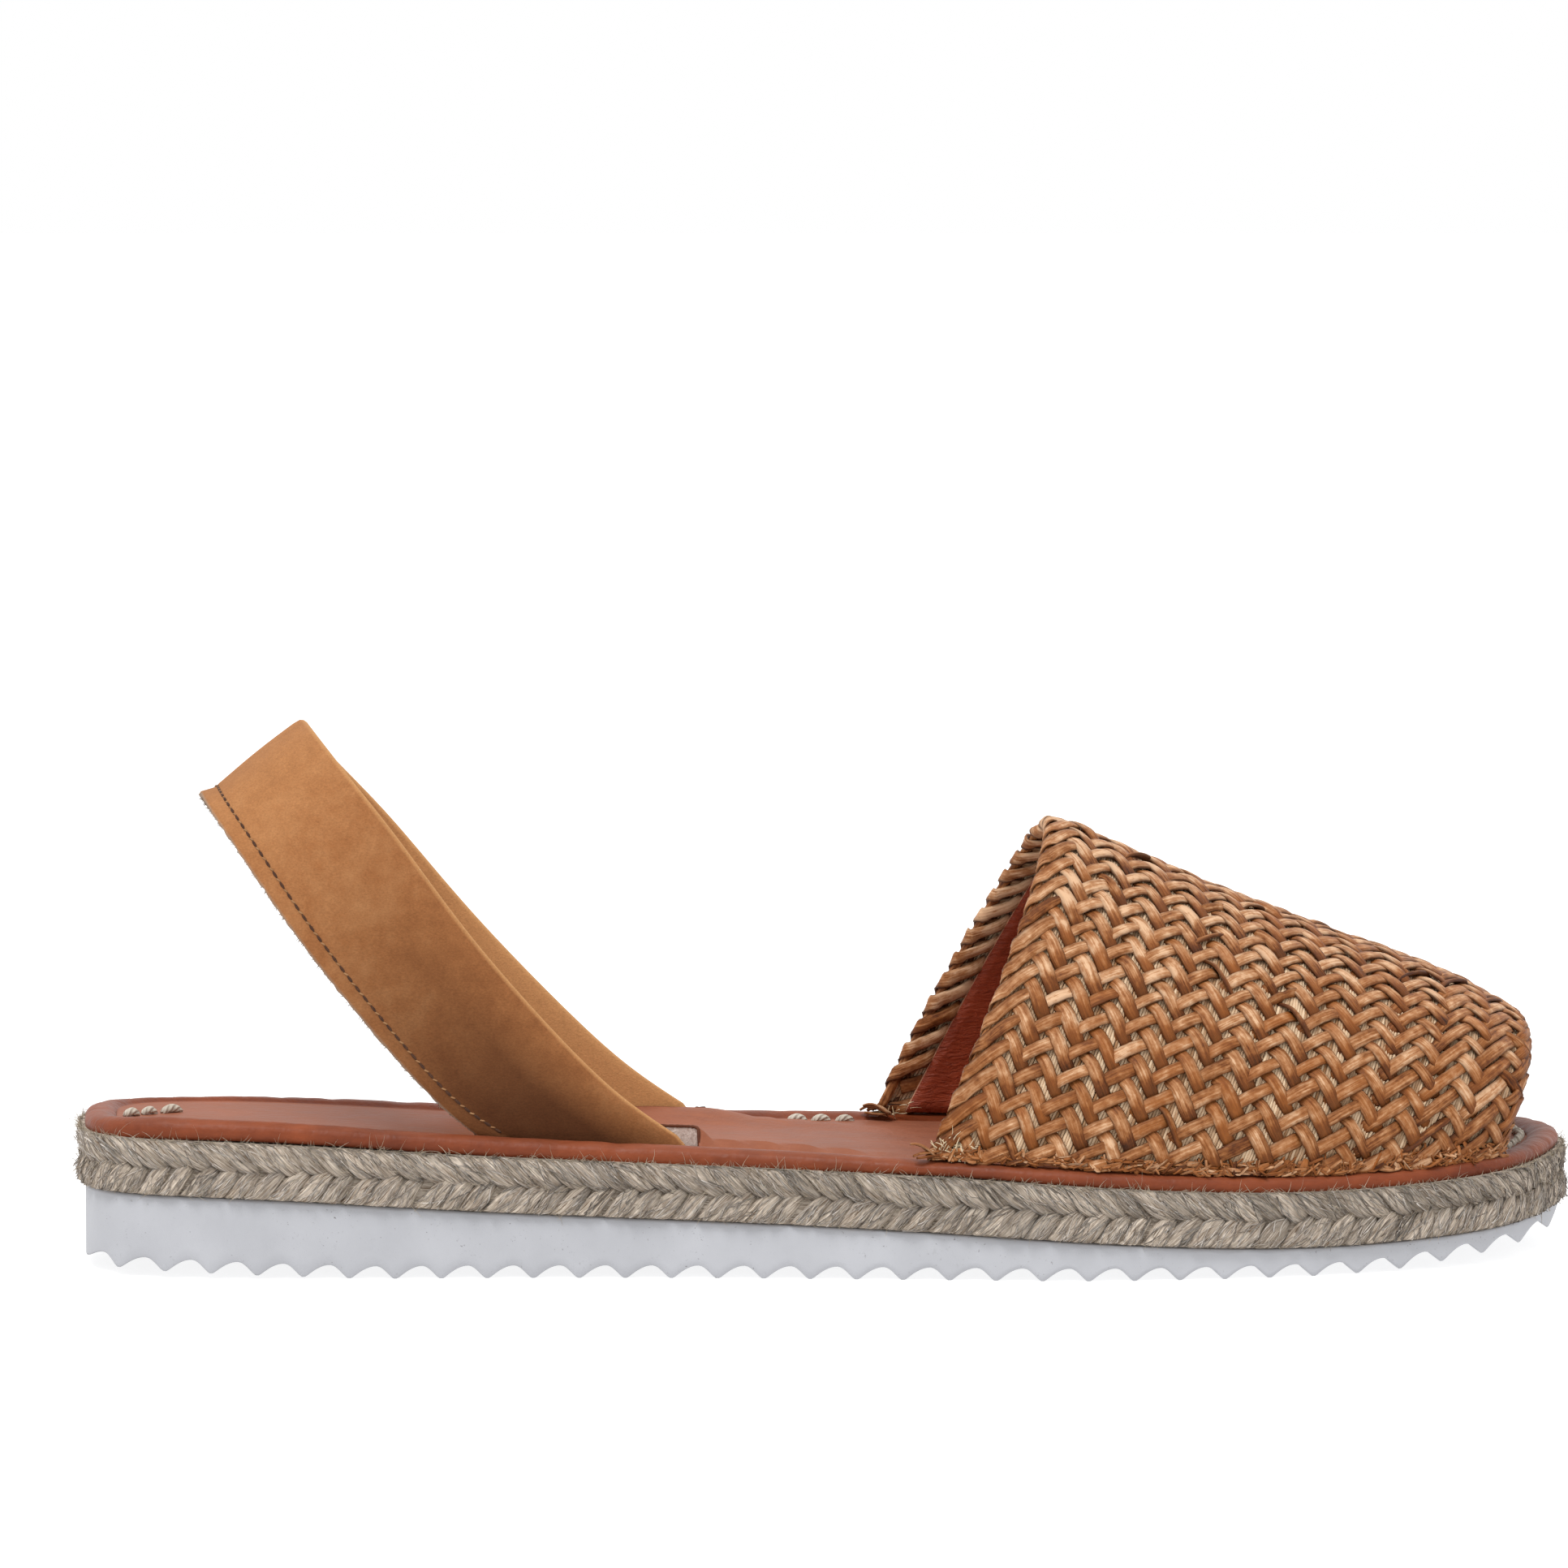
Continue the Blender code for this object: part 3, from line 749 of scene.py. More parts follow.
def underside(x):
    """Height of the toothed underside: a long flank up to the crest and a short one to the next tip."""
    short = (x - HEEL_TIP) * TOOTH_PITCH / (TOOTH_FIRST - HEEL_TIP)
    ahead = np.where(x < TOOTH_FIRST, short, np.mod(x - TOOTH_FIRST, TOOTH_PITCH))
    up = np.clip((ahead - TOOTH_LAND) / (TOOTH_RISE - TOOTH_LAND), 0.0, 1.0)
    down = np.clip((ahead - TOOTH_RISE) / (TOOTH_PITCH - TOOTH_RISE), 0.0, 1.0)
    rise = np.sin(math.pi / 2 * up) * np.maximum(np.cos(math.pi / 2 * down), 0.0) ** 1.3
    return straight(x, UNDERSIDE) + TOOTH_DEPTH * rise


def build_outsole():
    flat = inset_curve(TREAD_INSET)
    heel = flat[:, 0].min()
    toe = flat[:, 0].max()
    ends = (toe - heel) * (1 - np.cos(np.linspace(0, math.pi, SOLE_STATIONS))) / 2 + heel
    even = np.arange(TOOTH_FIRST - TOOTH_PITCH, toe, TOOTH_PITCH / TOOTH_STATIONS)
    x = np.unique(np.round(np.concatenate([ends, even]), 3))
    x = x[(x >= heel) & (x <= toe)]
    lateral, medial = (plan_side(x, TREAD_INSET, side) for side in (True, False))
    middle = (lateral + medial) / 2
    low = underside(x)
    high = deck(x) + GAP * 0.5
    places = [(-1 + 0.4 * k, 0.0, 0.0) for k in range(1, 5)]
    places += [(1.0, *row) for row in SOLE_WALL]
    places += [(0.35, 1.0, 0.0), (-0.35, 1.0, 0.0)]
    places += [(-1.0, *row) for row in reversed(SOLE_WALL)]
    section = []
    for side, rise, inward in places:
        half = np.maximum((medial - lateral) / 2 - inward, 0.02)
        section.append(np.column_stack([x, middle + side * half, low + (high - low) * rise]))
    sheaf = Sheaf().tubes(np.stack(section, axis=1)[None])
    core = inset_curve(BAND_THICK + GAP)[::4]
    levels = (deck(core[:, 0]) - CORE_SINK, core_top(core[:, 0]))
    sheaf.tubes(np.stack([np.column_stack([core, level]) for level in levels])[None], look=1)
    return sheaf.build("sole_foam", [foam_look(), fibre_board_look()])


# Jute band
STRAND_STATIONS = 13
STRAND_AROUND = 10
STRAND_HALF_THICK = 0.9
STRAND_ROWS = [
    # side of the band's middle, offset in pitches, lean, half_width
    (1, 0.0, 7.4, 1.7),
    (-1, 0.4, 5.8, 1.7),
]
FIBRES = 17                # fibres laid along each strand
FIBRE_STATIONS = 6
FIBRE_BUNDLES = 5          # groups of fibres of one tone across a strand
HAIR_STATIONS = 4
BAND_STATIONS = 240
BAND_CORE = [
    # inset, height
    (BAND_THICK, 9.3),
    (1.3, 9.3),
    (0.95, 7.0),
    (1.5, 4.7),
    (0.95, 2.4),
    (1.3, 0.05),
    (BAND_THICK, 0.05),
    (BAND_THICK, 4.7),
]


def band_points(run, height, inset):
    flat, outward = round_plan(run, inset)
    base = deck(flat[..., 0]) + GAP
    points = np.concatenate([flat, (base + height)[..., None]], axis=-1)
    return points, np.concatenate([outward, np.zeros((*outward.shape[:-1], 1))], axis=-1)


def trimmed(rings):
    """Rings cut off straight at the upper and lower edge of the band."""
    base = deck(rings[..., 0]) + GAP
    level = base + np.clip(rings[..., 2] - base, 0.12, BAND_HEIGHT - 0.08)
    return np.concatenate([rings[..., :2], level[..., None]], axis=-1)


class Braid:
    """One row of plaited strands: the upper row falls towards the toe, the lower row rises to it."""

    def __init__(self, side, offset, lean, half_width):
        self.count = int(round(CURVE_LENGTH / STRAND_PITCH))
        pitch = CURVE_LENGTH / self.count
        t = shares(STRAND_STATIONS)
        each = (self.count, 1)
        centre = (np.arange(self.count)[:, None] + offset) * pitch + random.normal(0.0, 0.28, each)
        run = centre + lean * random.normal(1.0, 0.10, each) * (t - 0.5)
        rounded = np.sin(math.pi * (0.05 + 0.90 * t))
        self.bulge = np.where(t < 0.5, 0.72 + 0.28 * np.sin(math.pi * t), rounded)
        half_row = BAND_HEIGHT / 2
        shift = random.normal(-0.2, 0.12, each)
        reach = (half_row + 0.9) * (1.0 - t) ** 0.95 + 0.25 * np.sin(2 * math.pi * t) + shift
        height = half_row + side * reach
        inset = 1.75 - 0.80 * self.bulge + random.normal(0.0, 0.08, each)
        self.points, self.outward = band_points(run, height, inset)
        size = random.normal(1.0, 0.09, each) * (0.5 + 0.5 * self.bulge)
        self.half = half_width * size
        self.thick = STRAND_HALF_THICK * size

    def strands(self):
        # the tone follows the bulge: painted shade where a strand dives under the next one
        tone = 0.36 + 0.46 * self.bulge ** 0.7 + random.normal(0.0, 0.15, (self.count, 1)) + self.pale()
        rings = ribbons(self.points, self.outward, self.half, self.thick, circle(STRAND_AROUND))
        return trimmed(rings), np.clip(tone, 0.0, 1.0)

    def pale(self):
        """The band is paler at the heel."""
        return 0.26 * (1 - ease(self.points[:, STRAND_STATIONS // 2, :1], 10, 90))

    def fibres(self):
        """Thin fibres on the outer half of each strand, some of them lifting off it."""
        count = self.count * FIBRES
        strand = np.repeat(np.arange(self.count), FIBRES)[:, None]
        start = random.integers(0, STRAND_STATIONS - FIBRE_STATIONS + 1, (count, 1))
        station = start + np.arange(FIBRE_STATIONS)[None]
        at = (strand, station)
        tangent = unit(np.gradient(self.points, axis=1))
        sideways = unit(np.cross(self.outward, tangent))
        top = np.cross(tangent, sideways)
        t = shares(FIBRE_STATIONS)
        drift = random.normal(0.0, 0.65, (count, 1)) * (t - 0.5)
        across = np.clip(random.uniform(-0.95, 0.95, (count, 1)) + drift, -0.97, 0.97)
        loose = np.abs(random.normal(0.0, 0.36, (count, 1))) * (2 * t - 1) ** 2
        over = self.thick[at] * np.sqrt(1 - across ** 2) + 0.02 + loose
        path = self.points[at] + sideways[at] * (across * self.half[at])[..., None]
        path = path + top[at] * over[..., None]
        size = random.uniform(0.067, 0.134, (count, 1)) * (1 - 0.5 * t)
        group = ((across[:, :1] + 1) * (FIBRE_BUNDLES / 2 - 0.01)).astype(int)
        bundle = random.normal(0.0, 0.26, (self.count, FIBRE_BUNDLES))[strand, group]
        tone = 0.64 + bundle + random.normal(0.0, 0.2, (count, 1)) + self.pale()[strand[:, 0]]
        # painted shade on fibres that run to the strand's sunken end
        tone = tone - 0.35 * ease(t, 0.55, 1.0) * (station[:, -1:] > STRAND_STATIONS - 3)
        rings = ribbons(path, self.outward[at], size, size, circle(3))
        return trimmed(rings), np.clip(tone, 0.0, 1.0)


def build_jute_band(braids):
    sheaf = Sheaf()
    for braid in braids:
        rings, tone = braid.strands()
        sheaf.tubes(rings, tone=tone)
    stations = np.linspace(0.0, CURVE_LENGTH, BAND_STATIONS)
    section = [band_points(stations, height, inset)[0] for inset, height in BAND_CORE]
    sheaf.tubes(np.stack(section, axis=1)[None])
    return sheaf.build("jute_braid", [jute_look("jute_strand", srgb(106, 82, 58), srgb(255, 240, 222))])


def build_jute_fibres(braid, name):
    rings, tone = braid.fibres()
    look = jute_look(name, srgb(132, 106, 80), srgb(255, 247, 238))
    return Sheaf().tubes(rings, tone=tone).build(name, [look])


def hairs(roots, ways, lengths, radius, curl):
    """Fine tapering hairs from roots along ways, bent a little; all arrays have one row for each hair."""
    count = len(roots)
    t = shares(HAIR_STATIONS)[..., None]
    sideways = unit(np.cross(ways, random.normal(size=(count, 3))))
    bend = sideways * (random.normal(0.0, curl, (count, 1)) * lengths[:, None])
    path = roots[:, None] + ways[:, None] * (lengths[:, None, None] * t) + bend[:, None] * t * t
    size = 1.1 * radius[:, None] * (1.0 - 0.75 * t[..., 0])
    return ribbons(path, np.broadcast_to(sideways[:, None], path.shape) + 1e-6, size, size, circle(3))


FUZZ = [
    # height as a share of the band, spread in mm, hairs, mean length
    (0.97, 0.30, 3600, 0.60),
    (0.72, 1.20, 1300, 0.55),
    (0.40, 1.30, 1300, 0.55),
    (0.06, 0.50, 1000, 0.50),
]


def build_jute_fuzz():
    """Loose hairs all over the band, most of them along its upper edge."""
    sheaf = Sheaf()
    for share, spread_z, count, mean in FUZZ:
        run = random.uniform(0.0, CURVE_LENGTH, count)
        height = BAND_HEIGHT * share + random.normal(0.0, spread_z, count)
        height = np.clip(height, 0.3, BAND_HEIGHT - 0.1)
        points, outward = band_points(run, height, random.uniform(0.1, 0.55, count))
        along = np.cross(UP, outward)
        spread = random.normal(0.0, 1.0, (count, 3))
        up = UP * (0.5 * spread[:, 2:] + 0.6 * (share > 0.9))
        ways = unit(outward * (0.1 + 0.3 * np.abs(spread[:, :1])) + along * spread[:, 1:2] + up)
        lengths = np.minimum(0.4 + random.exponential(mean, count), 2.8)
        rings = hairs(points, ways, lengths, random.uniform(0.03, 0.06, count), 0.5)
        sheaf.tubes(rings, tone=random.uniform(0.6, 1.0, (count, 1)))
    return sheaf.build("jute_fuzz", [jute_look("jute_hair", srgb(176, 154, 126), srgb(236, 224, 202))])


# Insole
RIM_STEPS = 22
RIM_CREASES = 170
FOOTBED_COLUMNS = 40
LIPS = [
    # direction, height, fall ahead of the slot
    (-1, 4.2, 5.0),
    (1, 2.4, 16.0),
]
LIP_FRONT = 0.9            # how far the open end of a slot shows ahead of the strap
LIP_STATIONS = 120
LIP_RADIUS = 0.26
SLOT_CUT = (12.0, 40.0)    # heights between which the slots are cut
BED_CREASES = [
    # start, end, depth, width
    ((106, -23), (150, -17), 0.40, 1.5),
    ((112, -19), (146, -6), 0.25, 1.8),
    ((30, -24), (64, -23), 0.20, 1.2),
]
STITCH_PITCH = 4.3
STITCH_RADIUS = 0.75
STITCH_STATIONS = 8
STITCHED = [
    # first_x, last_x, inset, both_sides
    (124, 136.5, 7.6, False),
    (236, 256, 7.6, True),
]
HEEL_STITCHES = [
    # x, y, length
    (9.0, -1.0, 2.8),
    (12.0, 2.0, 2.8),
    (15.8, 5.0, 4.0),
]


def strap_foot(direction):
    """Back and front end of one foot of the strap."""
    return [x + (MEDIAL_FORWARD if direction > 0 else 0.0) for x in STRAP_FOOT_X]


def slot_middle(direction):
    return STRAP_MIDDLE_Y + direction * STRAP[-1][0]


def footbed_lift(x, y):
    """Soft relief of the footbed: its hollow, creases, and lips that the strap pulls up by its slots."""
    lateral, medial = (plan_side(x, RIM[-1][0], side) for side in (True, False))
    across = np.clip((2 * y - lateral - medial) / np.maximum(medial - lateral, 1.0), -1.0, 1.0)
    lift = -0.4 * (1 - np.abs(across) ** 2.2)
    for direction, height, fall in LIPS:
        back, front = strap_foot(direction)
        inner = (slot_middle(direction) - y) * direction
        outer = ease(inner, -0.9, 0.4) * 0.9
        beside = np.where(inner > 0.4, np.exp(-((inner - 2.0) / 5.0) ** 2), outer)
        end = front + LIP_FRONT
        along = ease(x, back - 4, front - 6) * (1 - ease(x, end - 0.6, end + fall))
        ridge = inner - 0.1 * np.maximum(x - front, 0.0)
        trail = 0.5 * ease(x, front - 6, front) * (1 - ease(x, front + 6, front + 50))
        trail = trail * ease(ridge, -0.6, 0.9)
        lift += height * beside * np.maximum(along, trail)
    for start, end, depth, width in BED_CREASES:
        start = np.array(start)
        way = np.array(end) - start
        share = np.clip(((x - start[0]) * way[0] + (y - start[1]) * way[1]) / (way @ way), 0.0, 1.0)
        away = np.hypot(x - start[0] - way[0] * share, y - start[1] - way[1] * share)
        lift -= depth * np.exp(-(away / width) ** 2) * np.sin(math.pi * np.clip(share, 0.02, 0.98))
    return lift


def rim_creases():
    """Soft troughs across the rolled rim, one value for each point of the fine curve."""
    at = np.arange(FINE_POINTS) * CURVE_LENGTH / FINE_POINTS
    depth = np.zeros(FINE_POINTS)
    for place in random.uniform(0.0, CURVE_LENGTH, RIM_CREASES):
        width = random.uniform(0.7, 2.2)
        away = np.abs(at - place)
        away = np.minimum(away, CURVE_LENGTH - away)
        depth += random.uniform(0.02, 0.10) * np.exp(-(away / width) ** 2)
    return depth


def build_insole():
    steps = np.linspace(0.0, len(RIM) - 1, RIM_STEPS)
    inset, height, droop = (smooth(steps, list(enumerate(column))) for column in zip(*RIM))
    creases = rim_creases()
    side = 0.5 + 0.5 * FINE_OUTWARD[:, 1]
    rings = []
    for k in range(RIM_STEPS):
        strength = math.sin(math.pi * k / (RIM_STEPS - 1))
        flat = FINE_CURVE - FINE_OUTWARD * (inset[k] + creases * strength * 0.8)[:, None]
        lateral, medial = (straight(flat[:, 0], RIM_RAISE, column) for column in (1, 2))
        part = lateral * (1 - side) + medial * side
        raised = 1 + part * ease(k, 4, 11) * (1 - ease(k, 14, 20))
        level = insole_base(flat[:, 0]) + height[k] * raised - creases * strength
        level -= max(droop[k], 0.0) * smooth(flat[:, 0], RIM_DROOP)
        rings.append(np.column_stack([flat, level]))
    # the rim's crest is lightened: rubbed leather and a painted highlight along it
    tint_and_painted_light = [0.22 * float(ease(k, 8, 12) * (1 - ease(k, 14, 18))) for k in range(RIM_STEPS)]
    # painted shade on the low steps of the rim, under its roll, carried by the edge mark
    under_roll_shade = [float(1 - ease(k, 3, 8)) for k in range(RIM_STEPS)]
    half = FINE_POINTS // 2
    rows = np.arange(1, half)
    share = np.linspace(0.0, 1.0, FOOTBED_COLUMNS + 1)
    share = share[1:-1, None]
    middle = rings[-1][rows][:, None] * (1 - share) + rings[-1][-rows][:, None] * share
    middle[..., 2] += footbed_lift(middle[..., 0], middle[..., 1])
    points = [tuple(p) for level in rings for p in level]
    faces = []
    marks = []
    for level in range(RIM_STEPS - 1):
        for k in range(FINE_POINTS):
            after = (k + 1) % FINE_POINTS
            low = level * FINE_POINTS
            faces.append((low + k, low + after, low + FINE_POINTS + after, low + FINE_POINTS + k))
            marks.append((0.5, max(under_roll_shade[level] - 0.3, 0.0), tint_and_painted_light[level]))
    top = (RIM_STEPS - 1) * FINE_POINTS
    start = len(points)
    points += [tuple(p) for row in middle for p in row]
    across = FOOTBED_COLUMNS - 1

    def bed_point(row, column):
        if column == 0:
            return top + row
        if column == FOOTBED_COLUMNS:
            return top + FINE_POINTS - row
        return start + (row - 1) * across + column - 1

    for row in range(1, half - 1):
        for column in range(FOOTBED_COLUMNS):
            faces.append((bed_point(row, column), bed_point(row + 1, column),
                          bed_point(row + 1, column + 1), bed_point(row, column + 1)))
            # the footbed's third mark paints a sheen over it
            marks.append((0.5, 0.0, 0.85))
    for tip, row, flip in ((top, 1, False), (top + half, half - 1, True)):
        for column in range(FOOTBED_COLUMNS):
            corner = (tip, bed_point(row, column), bed_point(row, column + 1))
            faces.append(corner[::-1] if flip else corner)
            marks.append((0.5, 0.0, 0.5))
    for k in range(1, half - 1):
        faces.append((k, FINE_POINTS - k, FINE_POINTS - k - 1, k + 1))
        marks.append((0.5, 0.0, 0.0))
    faces += [(0, FINE_POINTS - 1, 1), (half, half - 1, half + 1)]
    marks += [(0.5, 0.0, 0.0)] * 2
    mesh = bpy.data.meshes.new("insole_leather")
    mesh.from_pydata(to_frame(points).tolist(), [], faces)
    layer = mesh.attributes.new("mark", "FLOAT_VECTOR", "FACE")
    layer.data.foreach_set("vector", np.array(marks, np.float32).ravel())
    mesh.materials.append(leather_look("rust_leather", srgb(102, 44, 21), srgb(144, 70, 36), 1.5, 0.46))
    mesh.materials.append(fibre_board_look())
    mesh.shade_smooth()
    piece = put("insole_leather", mesh)
    for direction in (-1, 1):
        cut_slot(piece, direction)
    return piece


def slot_outline(direction):
    """Plan of a long slot with round ends."""
    back, front = strap_foot(direction)
    back -= SLOT_BACK
    front += LIP_FRONT
    half = STRAP_THICK / 2 + SLOT_SIDE
    outline = []
    for end, start_angle in ((front - half, -90), (back + half, 90)):
        for step in range(9):
            angle = math.radians(start_angle + 180 * step / 8)
            outline.append((end + half * math.cos(angle), slot_middle(direction) + half * math.sin(angle)))
    return np.array(outline)


def build_slot_lips():
    """Dark cut edge of the leather round each slot."""
    sheaf = Sheaf()
    for direction in (-1, 1):
        loop = slot_outline(direction)
        run = run_along(loop)
        flat = read_line(np.linspace(0.0, run[-1], LIP_STATIONS), run, loop)
        inner = flat[:, 1] + 0.35 * np.sign(flat[:, 1] - slot_middle(direction))
        level = insole_base(flat[:, 0]) + FOOTBED_HEIGHT + footbed_lift(flat[:, 0], inner)
        path = np.column_stack([flat, level - 0.15])[None]
        size = LIP_RADIUS * random.normal(1.0, 0.12, (1, LIP_STATIONS))
        sheaf.tubes(ribbons(path, np.broadcast_to(UP, path.shape), size, size, circle(6)))
    look = leather_look("slot_edge", srgb(58, 28, 16), srgb(104, 56, 34), 2.0, 0.7)
    return sheaf.build("insole_slot_lips", [look])


def cut_slot(piece, direction):
    """Cuts the slot through the insole."""
    outline = slot_outline(direction)
    count = len(outline)
    points = [(x, y, z) for z in SLOT_CUT for x, y in outline]
    faces = [tuple(range(count))[::-1], tuple(range(count, 2 * count))]
    faces += [(k, (k + 1) % count, (k + 1) % count + count, k + count) for k in range(count)]
    mesh = bpy.data.meshes.new("slot_tool")
    mesh.from_pydata(to_frame(points).tolist(), [], faces)
    tool = put("slot_tool", mesh)
    mesh.materials.append(piece.data.materials[1])
    modifier = piece.modifiers.new("slot", "BOOLEAN")
    modifier.operation = "DIFFERENCE"
    modifier.solver = "EXACT"
    modifier.material_mode = "TRANSFER"
    modifier.object = tool
    apply_modifiers(piece)
    bpy.data.objects.remove(tool, do_unlink=True)


def apply_modifiers(piece):
    graph = bpy.context.evaluated_depsgraph_get()
    mesh = bpy.data.meshes.new_from_object(piece.evaluated_get(graph))
    old = piece.data
    piece.modifiers.clear()
    piece.data = mesh
    name = old.name
    bpy.data.meshes.remove(old)
    mesh.name = name


def sew(sheaf, flat, arch):
    """Adds coarse stitches over plan paths shaped (stitch, station, 2)."""
    level = insole_base(flat[..., 0]) + FOOTBED_HEIGHT - 0.35 + 0.75 * arch ** 0.7
    path = np.concatenate([flat, level[..., None]], axis=-1)
    size = STITCH_RADIUS * random.normal(1.0, 0.06, (len(flat), 1)) * (0.6 + 0.4 * arch ** 0.6)
    sheaf.tubes(ribbons(path, np.broadcast_to(UP, path.shape), size, size * 0.9, circle(8)))


def build_insole_stitches():
    """Coarse stitches where the footbed's seam comes to the surface."""
    count = int(CURVE_LENGTH / STITCH_PITCH)
    run = np.arange(count) * CURVE_LENGTH / count
    t = shares(STITCH_STATIONS)
    arch = np.sin(math.pi * t)
    sheaf = Sheaf()
    for first, last, inset, both_sides in STITCHED:
        x, y = round_plan(run, np.full(count, inset))[0].T
        kept = run[(x > first) & (x < last) & (both_sides | (y > 0)), None]
        length = STITCH_PITCH * random.uniform(0.72, 0.9, kept.shape)
        sew(sheaf, round_plan(kept + length * (t - 0.5), inset + 0.35 * (t - 0.5))[0], arch)
    x, y, length = (np.array(column)[:, None] for column in zip(*HEEL_STITCHES))
    half = length * (t - 0.5)
    sew(sheaf, np.stack([x + 0.8 * half, y + 0.6 * half], axis=-1), arch)
    twine = thread_look("pale_twine", srgb(186, 172, 154), srgb(238, 230, 216), 0.85, 0.25)
    return sheaf.build("insole_stitches", [twine])


# Heel strap
STRAP_STEPS = 90
STITCH_LINE = 3.0
SEAM_LINE = [
    # share, distance from the raw edge
    (0.00, STITCH_LINE),
    (0.50, 2.8),
    (0.72, 2.7),
    (0.88, 3.6),
    (1.00, 4.9),
    (1.03, 5.1),
]
SEAM_PITCH = 2.1
SEAM_DIP = 0.2
SEAM_STATIONS = 7
SEAM_END = 0.985           # share of an arm at which its seam stops
SEAM_BED = 2.0             # width of the flat strip beyond the seam
FACE_STOPS = [
    # part of the way from the raw edge to the seam, past it in mm
    (0.0, 0.0),
    (0.0, 0.5),
    (0.55, 0.0),
    (1.0, -0.7),
    (1.0, 0.0),
    (1.0, 0.7),
    (1.0, SEAM_BED),
]
FACE_SHARES = (0.15, 0.3, 0.45, 0.6, 0.75, 0.88, 0.96)
FOLD_ANGLES = (60, 30, 0, -30, -60)
FLARE = 0.85
ARM_LENGTH = 95.0
FOOT_SHARE = 0.03          # share of an arm that stands in its slot
STRAP_HAIRS = 420
STRAP_FOLDS = [
    # arm, share, across, depth, spread
    (-1, 0.34, 0.62, 0.50, 9.0),
    (-1, 0.62, 0.45, -0.45, 11.0),
    (-1, 0.84, 0.70, 0.55, 8.0),
    (1, 0.40, 0.50, 0.45, 9.0),
    (1, 0.72, 0.55, -0.45, 10.0),
]


def strap_arm(direction):
    share = np.linspace(0.0, 1.0, STRAP_STEPS + 1)
    places = np.linspace(0.0, 1.0, len(STRAP))
    side, low_x, low_z, high_x, high_z = (smooth(share, list(zip(places, column))) for column in zip(*STRAP))
    ahead = smooth(share, MEDIAL_ARM) if direction > 0 else 0.0
    y = STRAP_MIDDLE_Y + direction * side
    low = np.column_stack([low_x + ahead, y, low_z])
    high = np.column_stack([high_x + ahead, y, high_z])
    foot_x = np.array(strap_foot(direction))
    foot = np.column_stack([foot_x, np.full(2, y[-1]), insole_base(foot_x) + GAP])
    for part in (0.25, 0.5, 0.75, 1.0):
        low = np.vstack([low, low[STRAP_STEPS] * (1 - part) + foot[0] * part])
        high = np.vstack([high, high[STRAP_STEPS] * (1 - part) + foot[1] * part])
        share = np.append(share, 1.0 + FOOT_SHARE * part)
    return low, high, direction * share


class Strap:
    """The strap's middle surface from the lateral foot, round the back, to the medial foot."""

    def __init__(self):
        low_l, high_l, share_l = strap_arm(-1)
        low_m, high_m, share_m = strap_arm(1)
        self.low = np.vstack([low_l[::-1], low_m[1:]])
        self.high = np.vstack([high_l[::-1], high_m[1:]])
        self.share = np.concatenate([share_l[::-1], share_m[1:]])
        span = self.high - self.low
        self.width = np.linalg.norm(span, axis=1)
        self.across = unit(span)
        self.forward = unit(np.gradient((self.low + self.high) / 2, axis=0))
        self.outward = unit(np.cross(self.across, self.forward))
        self.seam = smooth(np.abs(self.share), SEAM_LINE)
        self.run = run_along(self.low + self.across * self.seam[:, None])

    def relief(self, from_edge):
        """How far the strap stands out beyond flat, at a distance from the raw edge: flare and folds."""
        flare = FLARE * (1 - ease(np.abs(self.share), 0.05, 0.42))
        flare = flare * (1 - ease(from_edge, 0.0, STITCH_LINE)) ** 1.2
        wave = np.zeros(len(self.share))
        for arm, share, across, depth, spread in STRAP_FOLDS:
            away = (self.share - arm * share) * ARM_LENGTH
            off = from_edge - across * self.width
            wave += depth * np.exp(-(away ** 2 + off ** 2) / spread ** 2)
        return flare + wave

    def at(self, from_edge, out):
        """Points at a distance from the raw edge and out from the middle surface."""
        shift = self.outward * (self.relief(from_edge) + out)[:, None]
        return self.low + self.across * np.asarray(from_edge)[..., None] + shift


